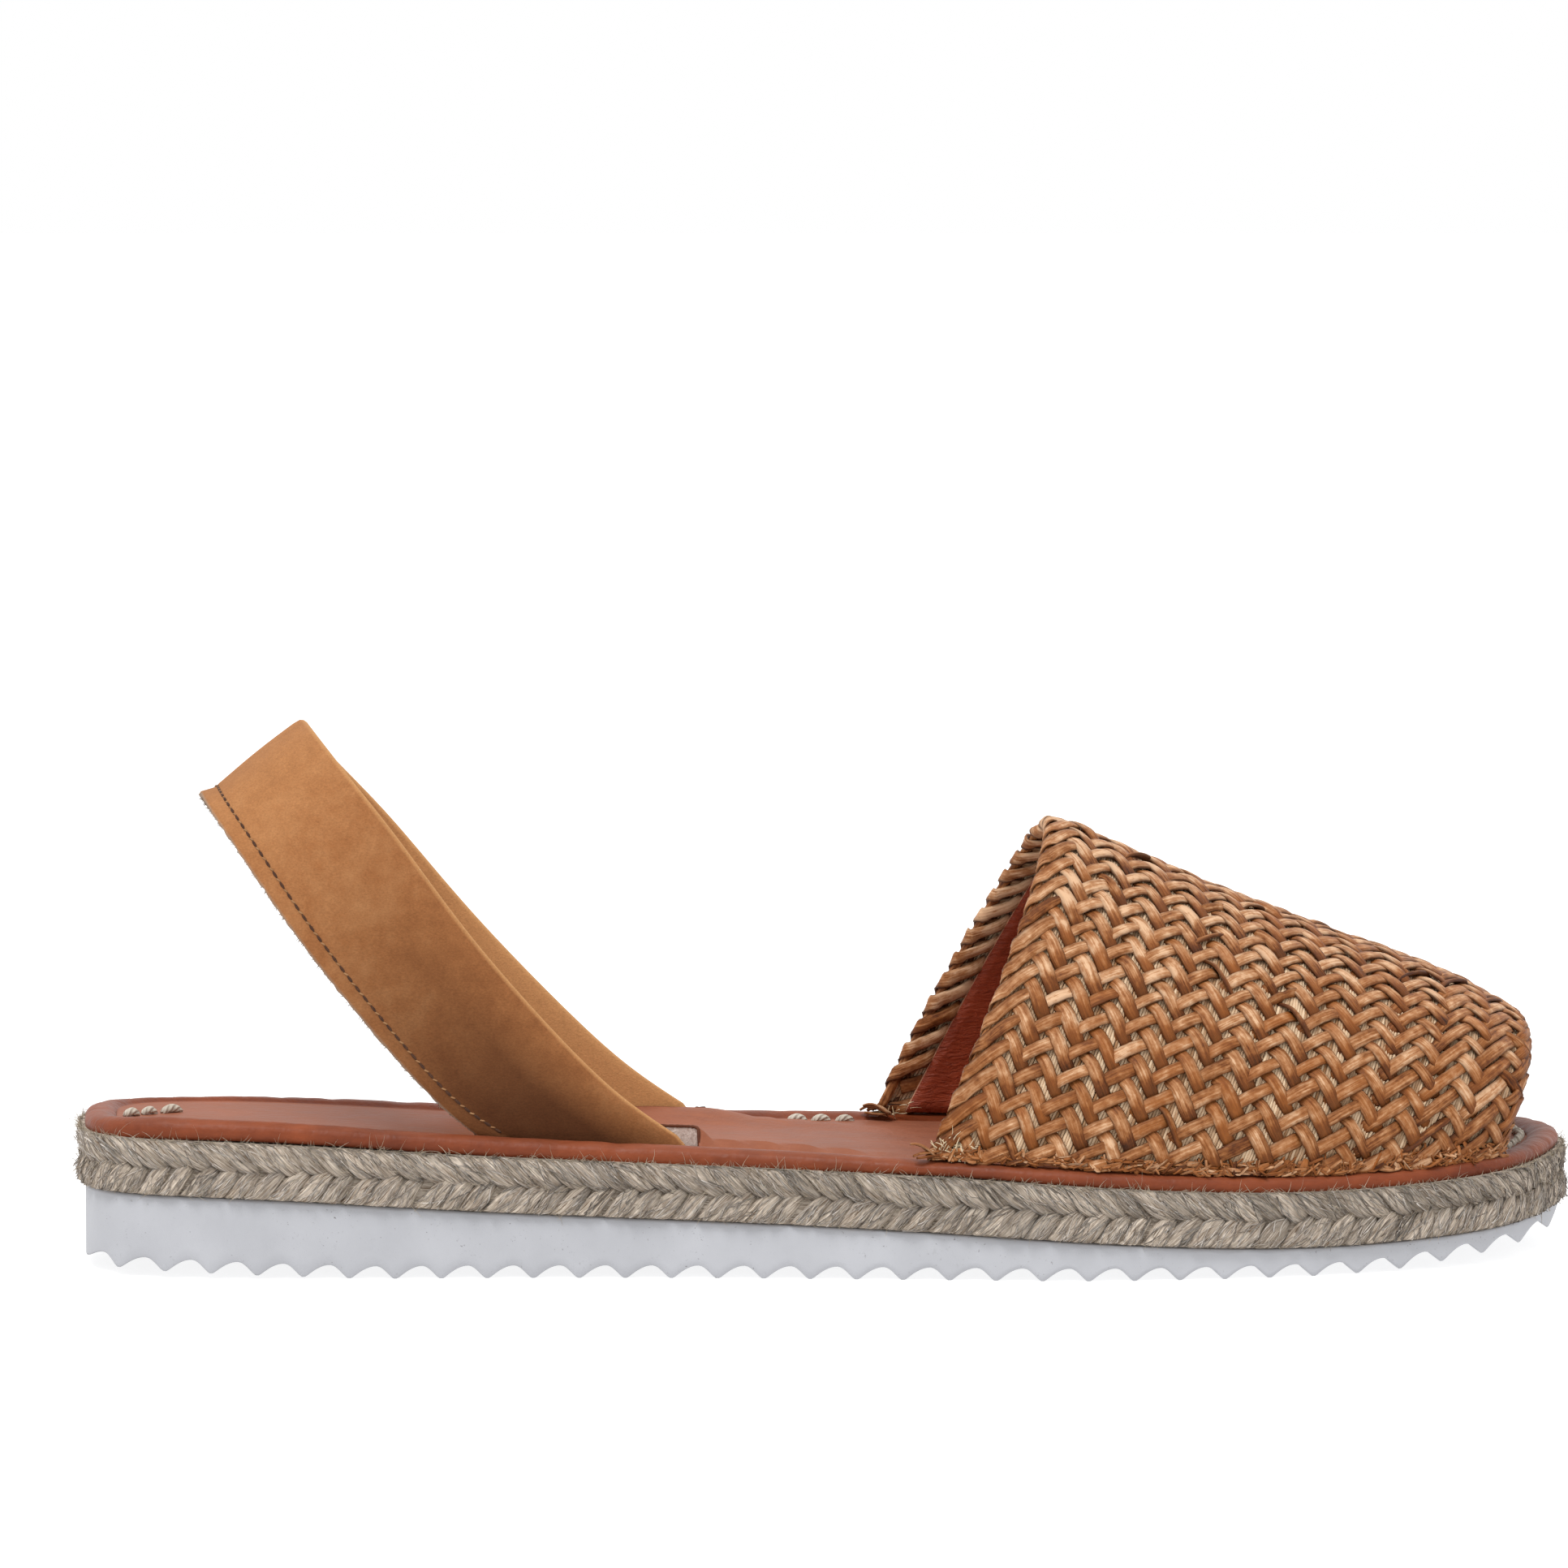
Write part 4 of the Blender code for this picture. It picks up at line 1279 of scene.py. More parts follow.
def build_heel_strap(strap):
    half = STRAP_THICK / 2
    back = len(strap.share) // 2
    ragged = random.normal(0.0, 0.06, len(strap.share))

    def face(sign):
        """Distance from the raw edge, place out and edge mark, from the raw edge of one face to the fold."""
        for part, past in FACE_STOPS:
            raw = part == 0.0 and past == 0.0
            dip = SEAM_DIP * math.exp(-(past / 0.55) ** 2) if part == 1.0 else 0.0
            across = part * strap.seam + past + (ragged if raw else 0.0)
            yield across, sign * (half - dip - (0.25 if raw else 0.0)), 1.0 if raw else 0.0
        for share in FACE_SHARES:
            across = strap.seam + SEAM_BED + (strap.width - half - strap.seam - SEAM_BED) * share
            yield across, sign * (half + 0.22 * math.sin(math.pi * share)), 0.0

    places = list(face(1))
    for angle in np.radians(FOLD_ANGLES):
        places.append((strap.width - half + half * math.cos(angle), half * math.sin(angle), 0.0))
    places += list(face(-1))[::-1]
    places += [(ragged + 0.05, -0.12, 1.0), (1.4, 0.0, 0.4), (ragged - 0.05, 0.12, 1.0)]
    rings = np.stack([strap.at(across, out) for across, out, edge in places], axis=1)[None]
    edges = np.array([edge for across, out, edge in places])
    down = np.abs(strap.share)
    # painted shade, darkest towards the foot of the lateral arm
    tint_and_painted_light = np.where(strap.share < 0, 0.86, 0.1) * ease(down, 0.34, 0.90)
    # painted light: the lateral arm is lighter near the top, the lit inner face of the medial arm lighter
    # towards its foot
    lateral = 0.5 + 0.15 * (1 - ease(down, 0.1, 0.4))
    tone = np.where(strap.share < 0, lateral, 0.66 + 0.24 * ease(down, 0.3, 0.8))
    sheaf = Sheaf().tubes(rings, tone=tone[None], edge=edges * 0.75, tint_and_painted_light=tint_and_painted_light[None])
    ring = rings[0, back]
    fold = int(np.argmax((ring - strap.low[back]) @ strap.across[back]))
    return sheaf.build("strap_leather", [nubuck_look(float(run_along(ring)[fold]))])


def build_strap_seam(strap):
    """Stitches in the groove on both faces, and between them dark discs that paint the shade of the needle
    holes.
    """
    sheaf = Sheaf()
    limits = strap.run[np.abs(strap.share) < SEAM_END]
    count = int((limits[-1] - limits[0]) / SEAM_PITCH)
    start = (limits[0] + (np.arange(count) + 0.5) * SEAM_PITCH)[:, None]
    t = shares(SEAM_STATIONS)
    for sign in (1, -1):
        line = strap.at(strap.seam, sign * (STRAP_THICK / 2 - SEAM_DIP))
        out = strap.outward * sign
        run = start + SEAM_PITCH * (0.32 + 0.36 * t)
        up = unit(read_line(run, strap.run, out))
        path = read_line(run, strap.run, line) + up * (0.16 * np.sin(math.pi * t) - 0.02)[..., None]
        slant = np.cross(up, unit(np.gradient(path, axis=1))) * ((t - 0.5) * 0.35)[..., None]
        sheaf.tubes(ribbons(path + slant, up, 0.15, 0.14, circle(6)))
        hole = start + SEAM_PITCH * (0.64 * (t - 0.5))
        up = unit(read_line(hole, strap.run, out))
        size = 0.23 * np.sqrt(np.maximum(1 - (2 * t - 1) ** 2, 0.02))
        path = read_line(hole, strap.run, line) + up * 0.10
        sheaf.tubes(ribbons(path, up, size, 0.14, circle(8)), look=1)
    # painted shade: dark discs stand for the holes
    dark = mottled_look("needle_hole_shade", 0.95, 3.0, srgb(54, 30, 17), srgb(86, 52, 30))
    thread = thread_look("seam_thread", srgb(122, 80, 48), srgb(186, 142, 100), 0.7)
    return sheaf.build("strap_seam", [thread, dark])


def build_strap_fuzz(strap):
    """Loose fibres of the raw edge."""
    count = STRAP_HAIRS
    at = random.uniform(strap.run[0] + 3, strap.run[-1] - 3, count)
    lines = (strap.at(0.0, 0.0), strap.outward, strap.across, strap.forward)
    roots, out, across, along = (read_line(at, strap.run, line) for line in lines)
    spread = random.normal(0.0, 1.0, (count, 2))
    roots = roots + out * random.uniform(-1.0, 1.0, (count, 1))
    ways = unit(-across + out * spread[:, :1] * 0.6 + along * spread[:, 1:] * 0.8)
    lengths = random.uniform(0.25, 0.7, count)
    rings = hairs(roots, ways, lengths, random.uniform(0.04, 0.08, count), 0.4)
    look = jute_look("hide_fibre", srgb(150, 128, 108), srgb(206, 190, 172))
    return Sheaf().tubes(rings, tone=0.9).build("strap_fuzz", [look])


# Woven upper
STRIP_SECTION = [
    # across, over
    (-0.90, -1.0),
    (0.90, -1.0),
    (1.0, -0.10),
    (0.84, 0.66),
    (0.34, 1.0),
    (-0.34, 1.0),
    (-0.84, 0.66),
    (-1.0, -0.10),
]
ROLL_SECTION = [(math.cos(k * math.pi / 4 - 2.4), math.sin(k * math.pi / 4 - 2.4)) for k in range(8)]
ROLL_HALF = [
    # share of the way from the outside to the inside, half width
    (0.0, 1.05),
    (0.28, 1.22),
    (0.42, 1.36),
    (0.6, 1.28),
    (1.0, 1.1),
]
ROLL_THICK = 0.42
ROLL_STATIONS = 7          # outside and inside
TURN_STATIONS = 8          # round the edge, with those that the outside and the inside have
RISING_STATIONS = 12
STEEP_STATIONS = 13
BACK_STATIONS = 8
TUFT_STATIONS = 9
# edge marks round the strip's section; they darken its sides with dark cut edges and painted shade
STRIP_EDGES = (1.0, 1.0, 1.0, 0.40, 0.0, 0.0, 0.40, 1.0)
STRIP_THICK = 0.31
RISING_HALF = 1.13
STEEP_HALF = 1.27
STRIP_LIFT = 1.0
RISING_MIDDLE = 0.55       # half columns from the column's line to the middle of a rising strip
RISING_REACH = 0.86        # half columns each way, with the hidden ends
RISING_SLOPE = 0.5         # rows for each half column
RISING_TOE = 0.3           # added slope of the last columns
STEEP_MIDDLE = 1.53
STEEP_DROP = 0.98          # rows from the rising strip's middle down to the steep strip's
STEEP_REACH = 1.02
STEEP_SLOPE = -1.0
EDGE_DEPTH = -0.55         # middle of the rolled throat and toe edges, below the skin
EDGE_RADIUS = 1.0
ROLL_INSIDE = 4.4
EDGE_BEND = 0.4            # rows by which the strips bend along the edges before they fold round them
LINING_FROM = 4.0
LINING_TO = 6.0
THREAD_PITCH = 0.54
THREAD_RADIUS = 0.30
THREAD_STATIONS = 70
SKIN_LINES = 101
RUN_END = 110.0            # the table of the skin reaches so far from the ridge, past the feet
RUN_STEP = 0.5
ARCH_STEPS = 240
CORD_STATIONS = 110
CORD_RADIUS = 0.85
LINING_LINES = 46
LINING_STATIONS = 90
LINING_DEPTHS = (-1.05, -1.75)
FRAY_STRIPS = 620          # on each side
FRAY_STATIONS = 6
FRAY_THICK = 0.12
SKIRT_STATIONS = 90
SKIRT = [
    # rise over the foot of the upper, height over the skin
    (1.6, 0.2),
    (0.9, 0.5),
    (0.1, 1.0),
    (-0.1, 1.0),
    (-0.1, -1.2),
    (1.6, -1.2),
]


class Upper:
    """The skin of the woven upper as a table over base x and the run from the ridge."""

    def __init__(self):
        self.x = np.linspace(VAMP_THROAT_X, VAMP_TOE_X, SKIN_LINES)
        self.run = np.arange(-RUN_END, RUN_END + RUN_STEP / 2, RUN_STEP)
        grids, lows, highs = zip(*(self.arch(x) for x in self.x))
        self.low = np.array(lows)
        self.high = np.array(highs)
        self.grid = np.stack(grids)
        self.normal = unit(np.cross(np.gradient(self.grid, axis=0), np.gradient(self.grid, axis=1)))
        self.forward = unit(np.gradient(self.grid, axis=0))

    def arch(self, base_x):
        """Points of one leaning arch at even runs, and the runs of its two feet."""
        share = (base_x - VAMP_THROAT_X) / (VAMP_TOE_X - VAMP_THROAT_X)
        ridge_x, ridge_z, ridge_y, fullness = (float(smooth(share, VAMP, k)) for k in range(1, 5))
        base_z = float(insole_base(base_x)) + RIM_CREST + GAP
        angle = np.linspace(0.0, math.pi, ARCH_STEPS + 1)
        spread = np.sign(np.cos(angle)) * np.abs(np.cos(angle)) ** (2 / fullness)
        height = np.abs(np.sin(angle)) ** (2 / fullness)
        lateral_x, medial_x = (base_x + float(straight(share, FOOT_SHIFT, k)) for k in (1, 2))
        lateral = plan_side(lateral_x, VAMP_INSET, True)
        medial = plan_side(medial_x, VAMP_INSET, False)
        side = np.where(spread > 0, lateral, medial)
        foot_x = np.where(spread > 0, lateral_x, medial_x)
        y = ridge_y + (side - ridge_y) * np.abs(spread)
        x = foot_x + (ridge_x - foot_x) * height
        line = np.column_stack([x, y, base_z + (ridge_z - base_z) * height])
        run = run_along(line)
        run -= run[ARCH_STEPS // 2]
        grid = read_line(self.run, run, line)
        for end, inner, beyond in ((0, 6, self.run < run[0]), (-1, -7, self.run > run[-1])):
            way = (line[end] - line[inner]) / abs(run[end] - run[inner])
            grid[beyond] = line[end] + way * np.abs(self.run[beyond] - run[end])[:, None]
        return grid, run[0], run[-1]

    def read(self, table, base_x, run):
        """Table values between its lines."""
        i = np.clip((base_x - self.x[0]) / (self.x[1] - self.x[0]), 0, len(self.x) - 1.001)
        j = np.clip((run + RUN_END) / RUN_STEP, 0, len(self.run) - 1.001)
        first = np.floor(i).astype(int)
        left = np.floor(j).astype(int)
        a = (i - first)[..., None]
        b = (j - left)[..., None]
        low = table[first, left] * (1 - a) + table[first + 1, left] * a
        high = table[first, left + 1] * (1 - a) + table[first + 1, left + 1] * a
        return low * (1 - b) + high * b

    def feet(self, base_x):
        """Runs of the lateral and the medial foot."""
        return np.interp(base_x, self.x, self.low), np.interp(base_x, self.x, self.high)

    def foot(self, base_x, side):
        return self.feet(base_x)[0 if side < 0 else 1]

    def at(self, base_x, run, height=0.0):
        """Points and outward directions on the skin, lifted by height."""
        base_x, run, height = np.broadcast_arrays(base_x, run, height)
        up = unit(self.read(self.normal, base_x, run))
        return self.read(self.grid, base_x, run) + up * height[..., None], up


def column_lines():
    """Base x of each half-column line, from the throat to past the toe edge."""
    lines = [VAMP_THROAT_X]
    for column in range(COLUMN_COUNT + 1):
        pitch = COLUMN_FIRST + (COLUMN_LAST - COLUMN_FIRST) * column / (COLUMN_COUNT - 1)
        lines.append(lines[-1] + pitch * COLUMN_SPLIT)
        lines.append(lines[-2] + pitch)
    return np.array(lines)


LINES = column_lines()


def line_x(place):
    return np.interp(place, np.arange(len(LINES)), LINES)


class Weave:
    """Strips over twine, laid on the skin of the upper; rows are counted up from its lateral foot."""

    def __init__(self, upper):
        self.upper = upper
        self.strips = Sheaf()
        self.rows = np.arange(-4, int((upper.high - upper.low).max() / ROW_PITCH) + 4).astype(float)

    def cells(self, columns):
        """Column and row of every cell, as two lists of one value a line."""
        column, row = np.meshgrid(columns.astype(float), self.rows, indexing="ij")
        return column.ravel()[:, None], row.ravel()[:, None]

    def run(self, base_x, rows):
        """Run from the ridge at a height in rows."""
        return self.upper.foot(base_x, -1) + rows * ROW_PITCH + ROW_CLIMB * (base_x - VAMP_THROAT_X)

    def held(self, base_x, run):
        low, high = self.upper.feet(base_x)
        return np.clip(run, low + 0.5, high - 0.5)

    def inside(self, base_x, run):
        """Which strips have their middle above the feet of the upper."""
        low, high = self.upper.feet(base_x)
        middle = run.shape[1] // 2
        return (run[:, middle] > low[:, middle] + 1.0) & (run[:, middle] < high[:, middle] - 1.0)

    def lay(self, centre, up, half, tone, twist, section=STRIP_SECTION, thick=STRIP_THICK):
        """Adds strips, some of them turned or torn narrow, with painted light that makes them paler towards
        the top of the upper.
        """
        count = len(centre)
        tangent = unit(np.gradient(centre, axis=1))
        torn = random.random((count, 1)) < 0.06
        angle = random.normal(0.0, 0.10, (count, 1))
        angle = angle + np.where(torn, random.choice([-0.8, 0.8], (count, 1)), 0.0) * twist
        width = half * random.normal(1.0, 0.07, (count, 1)) * np.where(torn, 0.72, 1.0)
        ragged = 1 + random.normal(0.0, 0.035, centre.shape[:2]) * np.where(torn, 2.5, 1.0)
        tone = tone + random.normal(0.0, 0.085, (count, 1)) - np.where(torn, 0.2, 0.0)
        # painted light from above: higher strips paler, lower ones darker
        tone = tone + 0.16 * np.clip((centre[..., 2] - 42.0) / 28.0, -1.0, 1.0)
        warm = np.clip(random.normal(0.05, 0.2, (count, 1)) + 0.9 * (0.66 - tone), 0.0, 1.0)
        rings = ribbons(centre, turned(up, tangent, angle), width * ragged, thick, section)
        self.strips.tubes(rings, tone=np.clip(tone, 0.02, 0.98), edge=STRIP_EDGES, tint_and_painted_light=warm)

    def rising(self):
        """Strips that climb towards the toe, in the first part of each inner column."""
        column, row = self.cells(np.arange(1, COLUMN_COUNT))
        t = np.linspace(-1.0, 1.0, RISING_STATIONS)[None]
        away = RISING_REACH * t
        wobble = random.normal(0.0, 0.035, column.shape)
        steeper = RISING_TOE * ease(column, 7.5, 11.0)
        rows = row + RISING_SLOPE * away + steeper * (away - RISING_REACH) + 0.09 * (1 - t ** 2) + wobble
        # the tone falls at both ends: painted shade where the strip tucks under its neighbours
        self.strip(2 * column + RISING_MIDDLE + away, rows, RISING_HALF, 0.71 - 0.50 * np.abs(t) ** 3, t)

    def steep(self):
        """Strips that fall towards the toe, over the rising ones beside them."""
        column, row = self.cells(np.arange(COLUMN_COUNT))
        t = np.linspace(-1.0, 1.0, STEEP_STATIONS)[None]
        away = STEEP_REACH * t
        wobble = random.normal(0.0, 0.035, column.shape)
        rows = row - STEEP_DROP + STEEP_SLOPE * away + 0.12 * (1 - t ** 2) + wobble
        # painted shade: darker at both ends, most at the lower end where the strip tucks under
        tone = 0.77 - 0.58 * ease(t, 0.0, 0.75) - 0.34 * (1 - ease(t, -0.9, -0.35))
        half = STEEP_HALF * (0.86 + 0.14 * (1 - t ** 2))
        self.strip(2 * column + STEEP_MIDDLE + away, rows, half, tone, t)

    def strip(self, place, rows, half, tone, t):
        """Strips along places in half columns and rows, high in the middle and tucked down at both ends."""
        base_x = line_x(place)
        run = self.run(base_x, rows)
        keep = self.inside(base_x, run)
        base_x, run = base_x[keep], run[keep]
        lift = STRIP_LIFT * random.normal(1.0, 0.12, (len(run), 1))
        height = lift * (1 - np.abs(t) ** 2.6) - 0.5 * np.abs(t) ** 3
        centre, up = self.upper.at(base_x, self.held(base_x, run), height)
        self.lay(centre, up, half, tone, 1.0)

    def rolled(self, toe):
        """Strips of the first or last column, which fold round the throat or the toe edge to the inside."""
        edge_x = ROLL_TOE_X if toe else VAMP_THROAT_X
        way = 1.0 if toe else -1.0
        column = float(COLUMN_COUNT) if toe else 0.0
        edge_place = float(np.interp(ROLL_TOE_X, LINES, np.arange(len(LINES)))) if toe else 0.0
        row = self.rows[:, None]
        out_t = shares(ROLL_STATIONS)
        middle = 2 * column + RISING_MIDDLE
        far = middle - way * RISING_REACH
        place = far + (edge_place - far) * out_t
        slope = RISING_SLOPE + (RISING_TOE if toe else 0.0)
        run_out = self.run(line_x(place), row + slope * (place - middle) + way * EDGE_BEND * out_t ** 3)
        end_run = run_out[:, -1:]
        height = STRIP_LIFT * (1 - (1 - np.minimum(2 * out_t, 1)) ** 2.6)
        height = height + (EDGE_DEPTH + EDGE_RADIUS - height) * ease(out_t, 0.5, 1.0)
        outer, outer_up = self.upper.at(line_x(place), self.held(line_x(place), run_out), height)
        angle = math.pi * shares(TURN_STATIONS)[:, 1:-1]
        run_turn = end_run + way * 0.6 * ROW_PITCH * angle / math.pi
        at_edge, edge_up = self.upper.at(edge_x, self.held(edge_x, run_turn), EDGE_DEPTH)
        ahead = self.upper.read(self.upper.forward, np.full_like(run_turn, edge_x), run_turn)
        ahead = unit(ahead) * way
        lean = edge_up * np.cos(angle)[..., None] + ahead * np.sin(angle)[..., None]
        turn = at_edge + lean * EDGE_RADIUS
        in_t = shares(ROLL_STATIONS)
        inner_x = edge_x - way * ROLL_INSIDE * in_t
        run_in = end_run + way * (0.65 + 0.9 * in_t) * ROW_PITCH
        sink = (EDGE_DEPTH - EDGE_RADIUS) - 0.25 * np.sin(math.pi * in_t) + 0.7 * ease(in_t, 0.6, 1.0)
        inner, inner_up = self.upper.at(inner_x, self.held(inner_x, run_in), sink)
        low, high = self.upper.feet(edge_x)
        keep = (end_run[:, 0] > low + 0.8) & (end_run[:, 0] < high - 0.8)
        centre = np.concatenate([outer, turn, inner], axis=1)[keep]
        up = np.concatenate([outer_up, lean, -inner_up], axis=1)[keep]
        share = np.linspace(0.0, 1.0, centre.shape[1])
        tone = 0.60 + 0.22 * ease(share, 0.45, 0.8)
        self.lay(centre, up, straight(share, ROLL_HALF), tone, 0.0, ROLL_SECTION, ROLL_THICK)

    def back_strips(self):
        """Backs of the steep strips, seen inside the throat between the rolled strips and the lining."""
        row = self.rows[:, None]
        t = shares(BACK_STATIONS)
        base_x = VAMP_THROAT_X + 1.4 + 4.8 * t
        run = self.run(base_x, row + 0.35 - 0.8 * t)
        keep = self.inside(base_x, run)
        height = -1.0 + 0.3 * np.abs(2 * t - 1) ** 2
        centre, up = self.upper.at(base_x, self.held(base_x, run), height)
        self.lay(centre[keep], -up[keep], 1.35, 0.66, 0.0)

    def edge_cords(self):
        """Body of the two rolled edges."""
        for edge_x in (VAMP_THROAT_X, ROLL_TOE_X):
            low, high = self.upper.feet(edge_x)
            run = np.linspace(low + 0.4, high - 0.4, CORD_STATIONS)[None]
            centre, up = self.upper.at(edge_x, run, EDGE_DEPTH)
            self.strips.tubes(ribbons(centre, up, CORD_RADIUS, CORD_RADIUS, circle(8)))

    def build(self):
        self.rising()
        self.steep()
        self.rolled(False)
        self.rolled(True)
        self.back_strips()
        self.edge_cords()
        return self.strips.build("vamp_weave", [strip_look()])


def build_twine(upper):
    """Warp of thin threads side by side under the strips, from rim to rim."""
    starts = np.arange(VAMP_THROAT_X + 0.5, ROLL_TOE_X - 0.4, THREAD_PITCH)
    base_x = (starts + random.normal(0.0, 0.05, len(starts)))[:, None]
    low, high = upper.feet(base_x)
    run = low + 0.3 + (high - low - 0.6) * shares(THREAD_STATIONS)
    phase = np.floor((starts - VAMP_THROAT_X) / 2.4)[:, None] * 1.9
    wave = 2 * math.pi * run / ROW_PITCH + phase
    height = -0.06 + 0.10 * np.sin(wave) + random.normal(0.0, 0.04, base_x.shape)
    centre, up = upper.at(base_x + 0.05 * np.cos(wave), run, height)
    rings = ribbons(centre, up, THREAD_RADIUS, THREAD_RADIUS, circle(5))
    look = thread_look("grey_twine", srgb(158, 112, 72), srgb(246, 216, 180))
    return Sheaf().tubes(rings, tone=random.normal(0.5, 0.2, base_x.shape)).build("vamp_twine", [look])


def build_lining(upper):
    """Leather lining glued inside the upper, with its pale cut edge."""
    lines = np.linspace(VAMP_THROAT_X + LINING_FROM, ROLL_TOE_X - LINING_TO, LINING_LINES)[:, None]
    low, high = upper.feet(lines)
    run = low + 0.2 + (high - low - 0.4) * shares(LINING_STATIONS)
    outside, inside = (upper.at(lines, run, depth)[0] for depth in LINING_DEPTHS)
    rings = np.concatenate([outside, inside[:, ::-1]], axis=1)[None, :, ::-1]
    look = leather_look("dark_lining", srgb(130, 52, 32), srgb(188, 88, 56), 1.1, 0.42, 0.7)
    edge = mottled_look("cut_edge", 0.8, 1.2, srgb(176, 116, 86), srgb(222, 172, 140))
    piece = Sheaf().tubes(rings).build("vamp_lining", [look, edge])
    first = set(range(rings.shape[2]))
    for polygon in piece.data.polygons:
        if first.issuperset(polygon.vertices):
            polygon.material_index = 1
    return piece


def build_fray(upper):
    """Frayed ends of the strips lying along the rim, on a low skirt."""
    sheaf = Sheaf()
    for side in (-1, 1):
        x = np.linspace(VAMP_THROAT_X + 0.2, ROLL_TOE_X - 0.2, SKIRT_STATIONS)
        foot = upper.foot(x, side)
        section = [upper.at(x, foot - side * rise, height)[0] for rise, height in SKIRT]
        rings = np.stack(section, axis=1)[None]
        sheaf.tubes(rings if side < 0 else rings[:, :, ::-1], tone=0.3)
        each = (FRAY_STRIPS, 1)
        start = random.uniform(VAMP_THROAT_X - 0.5, ROLL_TOE_X - 0.5, each)
        t = shares(FRAY_STATIONS)
        length = random.uniform(1.0, 3.6, each)
        slope = random.normal(0.0, 0.75, each)
        base_x = start + length * np.cos(slope) * (t - 0.5)
        base_x = np.clip(base_x, VAMP_THROAT_X - 0.2, ROLL_TOE_X + 0.2)
        grown = 1.0 + 0.5 * ease(start, VAMP_THROAT_X + 40, ROLL_TOE_X)
        level = random.uniform(0.0, 1.0, each) ** 1.4
        rise = 0.1 + (1.7 * level + length * np.sin(slope) * (t - 0.5)) * grown
        rise = np.clip(rise, 0.05 - 0.5 * random.random(each), 4.2)
        lifted = np.abs(random.normal(0.0, 0.35, each)) * t ** 2
        height = 1.25 - 0.75 * level + random.uniform(-0.2, 0.3, each)
        height = height + 0.2 * np.sin(math.pi * t) + lifted
        centre, up = upper.at(base_x, upper.foot(base_x, side) - side * rise, height)
        half = random.uniform(0.12, 0.45, each) * np.where(random.random(each) < 0.1, 2.0, 1.0)
        half = half * (0.6 + 0.4 * np.sin(math.pi * t))
        tilt = turned(up, unit(np.gradient(centre, axis=1)), random.normal(0.0, 0.7, each))
        tone = np.clip(random.normal(0.56, 0.2, each), 0.05, 0.98)
        warm = np.clip(random.normal(0.45, 0.3, each), 0.0, 1.0)
        rings = ribbons(centre, tilt, half, FRAY_THICK, STRIP_SECTION)
        sheaf.tubes(rings, tone=tone, edge=np.array(STRIP_EDGES) * 0.7, tint_and_painted_light=warm)
    return sheaf.build("vamp_fray", [strip_look()])


TUFTS = [
    # side, strips, inward, rise, least_width, most_width, tone, threads, thread_length
    (-1, 9, 0.0, 0.0, 0.35, 1.15, 0.60, 70, 2.0),
    (1, 8, 4.0, -0.7, 0.50, 1.20, 0.90, 12, 1.6),
]


def build_tufts(upper):
    """Curled strip ends and frayed twine at the two corners of the throat."""
    sheaf = Sheaf()
    t = shares(TUFT_STATIONS)
    for side, count, inward, rise, least, most, tone, threads, thread_length in TUFTS:
        foot = upper.foot(VAMP_THROAT_X, side)
        moved = np.array([0.0, -side * inward, rise])
        root, out = upper.at(VAMP_THROAT_X + 1.2, foot - side * 0.8, 0.4)
        root = root + moved + random.normal(0.0, 0.5, (count, 3)) * (1.0, 0.6, 0.5)
        astray = random.normal(0.0, 0.22, (count, 3)) * (1.0, 1.0, 0.7)
        way = unit(np.array([-1.0, 0.0, 0.0]) + out * 0.25 + astray)
        length = random.uniform(2.2, 5.0, (count, 1, 1))
        curl = UP * random.uniform(-0.2, 1.5, (count, 1, 1))
        path = root[:, None] + way[:, None] * length * t[..., None] + curl * np.sin(2.6 * t[..., None])
        floor = insole_base(path[..., 0]) + (RIM_CREST + 0.5 if inward == 0.0 else FOOTBED_HEIGHT + 0.4)
        path[..., 2] = np.maximum(path[..., 2], floor)
        half = random.uniform(least, most, (count, 1)) * (1 - 0.5 * t ** 2)
        rings = ribbons(path, np.broadcast_to((0.1, 0.2, 1.0), path.shape), half, 0.2, STRIP_SECTION)
        tone = random.normal(tone, 0.15, (count, 1))
        sheaf.tubes(rings, tone=tone, edge=np.array(STRIP_EDGES) * 0.4, tint_and_painted_light=0.3)
        ahead = random.uniform(-0.4, 5.0, threads)
        root, out = upper.at(VAMP_THROAT_X + ahead, foot - side * random.uniform(0.2, 3.4, threads), 0.8)
        way = unit(random.normal(0.0, 1.0, (threads, 3)) * (1.0, 0.5, 0.9) + out * 0.15 + (-0.3, 0.0, 0.2))
        lengths = thread_length * random.uniform(0.4, 1.25, threads)
        fine = hairs(root + moved, way, lengths, random.uniform(0.09, 0.22, threads), 0.6)
        sheaf.tubes(fine, tone=random.normal(0.75, 0.2, (threads, 1)), look=1)
    twine = thread_look("frayed_twine", srgb(176, 148, 112), srgb(238, 218, 184))
    return sheaf.build("vamp_tufts", [strip_look(), twine])


# Stage
def sun_light(name, place, strength, spread):
    """A wide soft light from the direction of place."""
    light = bpy.data.lights.new(name, "SUN")
    light.energy = strength
    light.angle = math.radians(spread)
    x, y, z = place
    put(name, light).rotation_euler = (math.atan2(math.hypot(x, y), z), 0.0, math.atan2(x, -y))


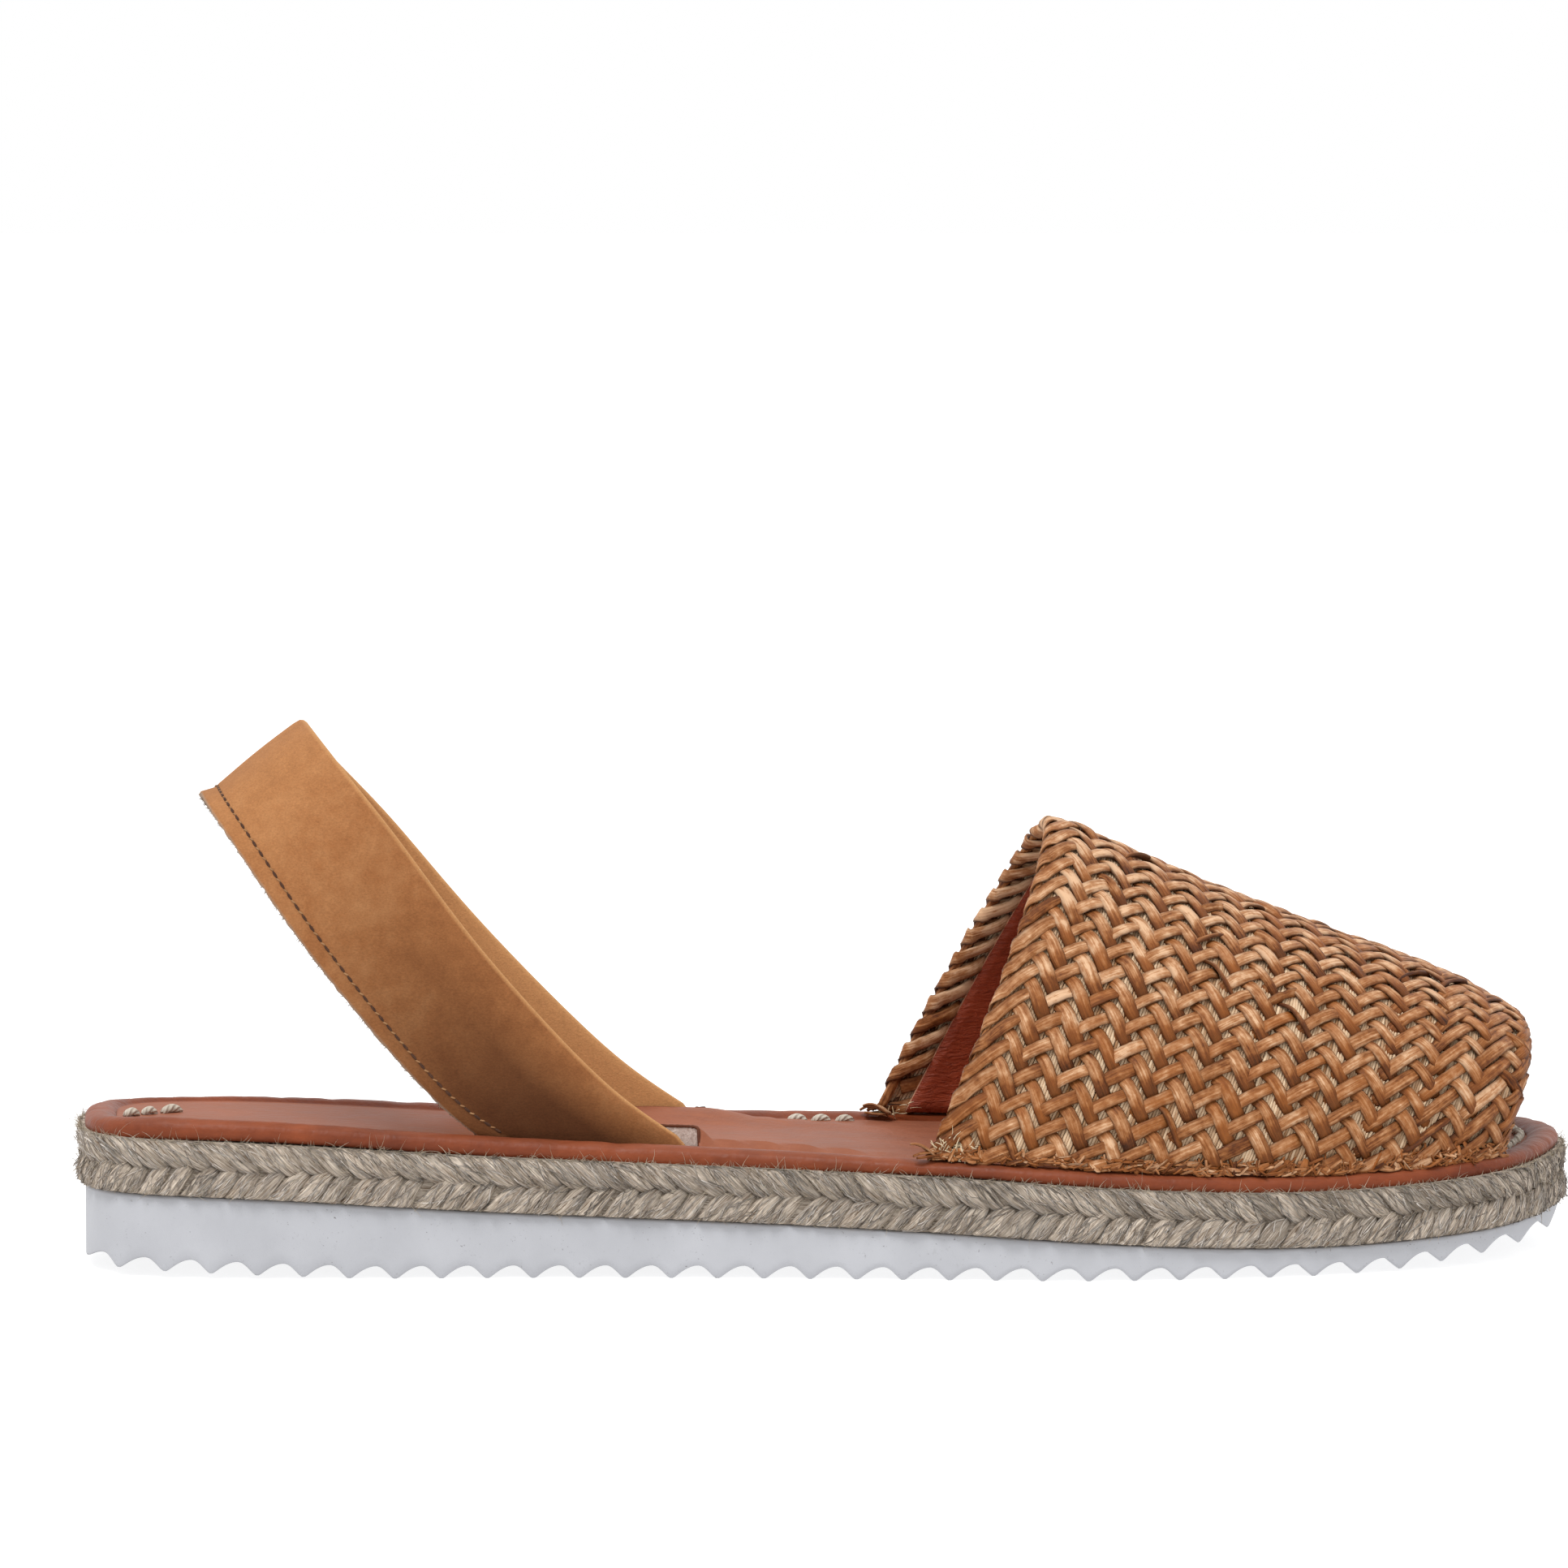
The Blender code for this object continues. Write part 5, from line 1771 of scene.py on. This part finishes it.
def build_stage():
    mesh = bpy.data.meshes.new("floor")
    corners = [(x * FLOOR_HALF, y * FLOOR_HALF, 0.0) for x, y in ((-1, -1), (1, -1), (1, 1), (-1, 1))]
    mesh.from_pydata(corners, [], [(0, 1, 2, 3)])
    look = Look("pale_floor", Roughness=0.8, Specular_IOR_Level=0.1, Emission_Strength=FLOOR_GLOW)
    mesh.materials.append(look.finish((FLOOR_GREY, FLOOR_GREY, FLOOR_GREY, 1.0)))
    floor = put("floor", mesh)
    world = bpy.data.worlds.new("studio")
    world.use_nodes = True
    background = world.node_tree.nodes["Background"]
    background.inputs["Color"].default_value = (1.0, 1.0, 1.0, 1.0)
    background.inputs["Strength"].default_value = 1.0
    bpy.context.scene.world = world
    for row in LIGHTS:
        sun_light(*row)


def build_camera():
    data = bpy.data.cameras.new("camera")
    data.lens = CAMERA_LENS
    data.sensor_width = SENSOR
    data.clip_end = CAMERA_FAR
    camera = put("camera", data)
    camera.location = to_frame(CAMERA_PLACE)
    camera.rotation_euler = (math.radians(90 - CAMERA_DIP), 0.0, -math.radians(CAMERA_TURN))
    bpy.context.scene.camera = camera


def dress():
    """Builds every piece and sets it on the body, for the node that it stands for."""
    upper = Upper()
    strap = Strap()
    braids = [Braid(*row) for row in STRAND_ROWS]
    made = [
        ("outsole", [build_outsole()]),
        ("jute_band", [
            build_jute_band(braids),
            build_jute_fibres(braids[0], "jute_fibres_upper"),
            build_jute_fibres(braids[1], "jute_fibres_lower"),
            build_jute_fuzz(),
        ]),
        ("insole", [build_insole(), build_insole_stitches(), build_slot_lips()]),
        ("heel_strap", [build_heel_strap(strap), build_strap_seam(strap), build_strap_fuzz(strap)]),
        ("vamp", [
            Weave(upper).build(),
            build_twine(upper),
            build_lining(upper),
            build_fray(upper),
            build_tufts(upper),
        ]),
    ]
    for node, pieces in made:
        for piece in pieces:
            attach(piece, "root")
            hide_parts(node)


bpy.context.scene.view_settings.view_transform = "Standard"
build_stage()
build_camera()
dress()
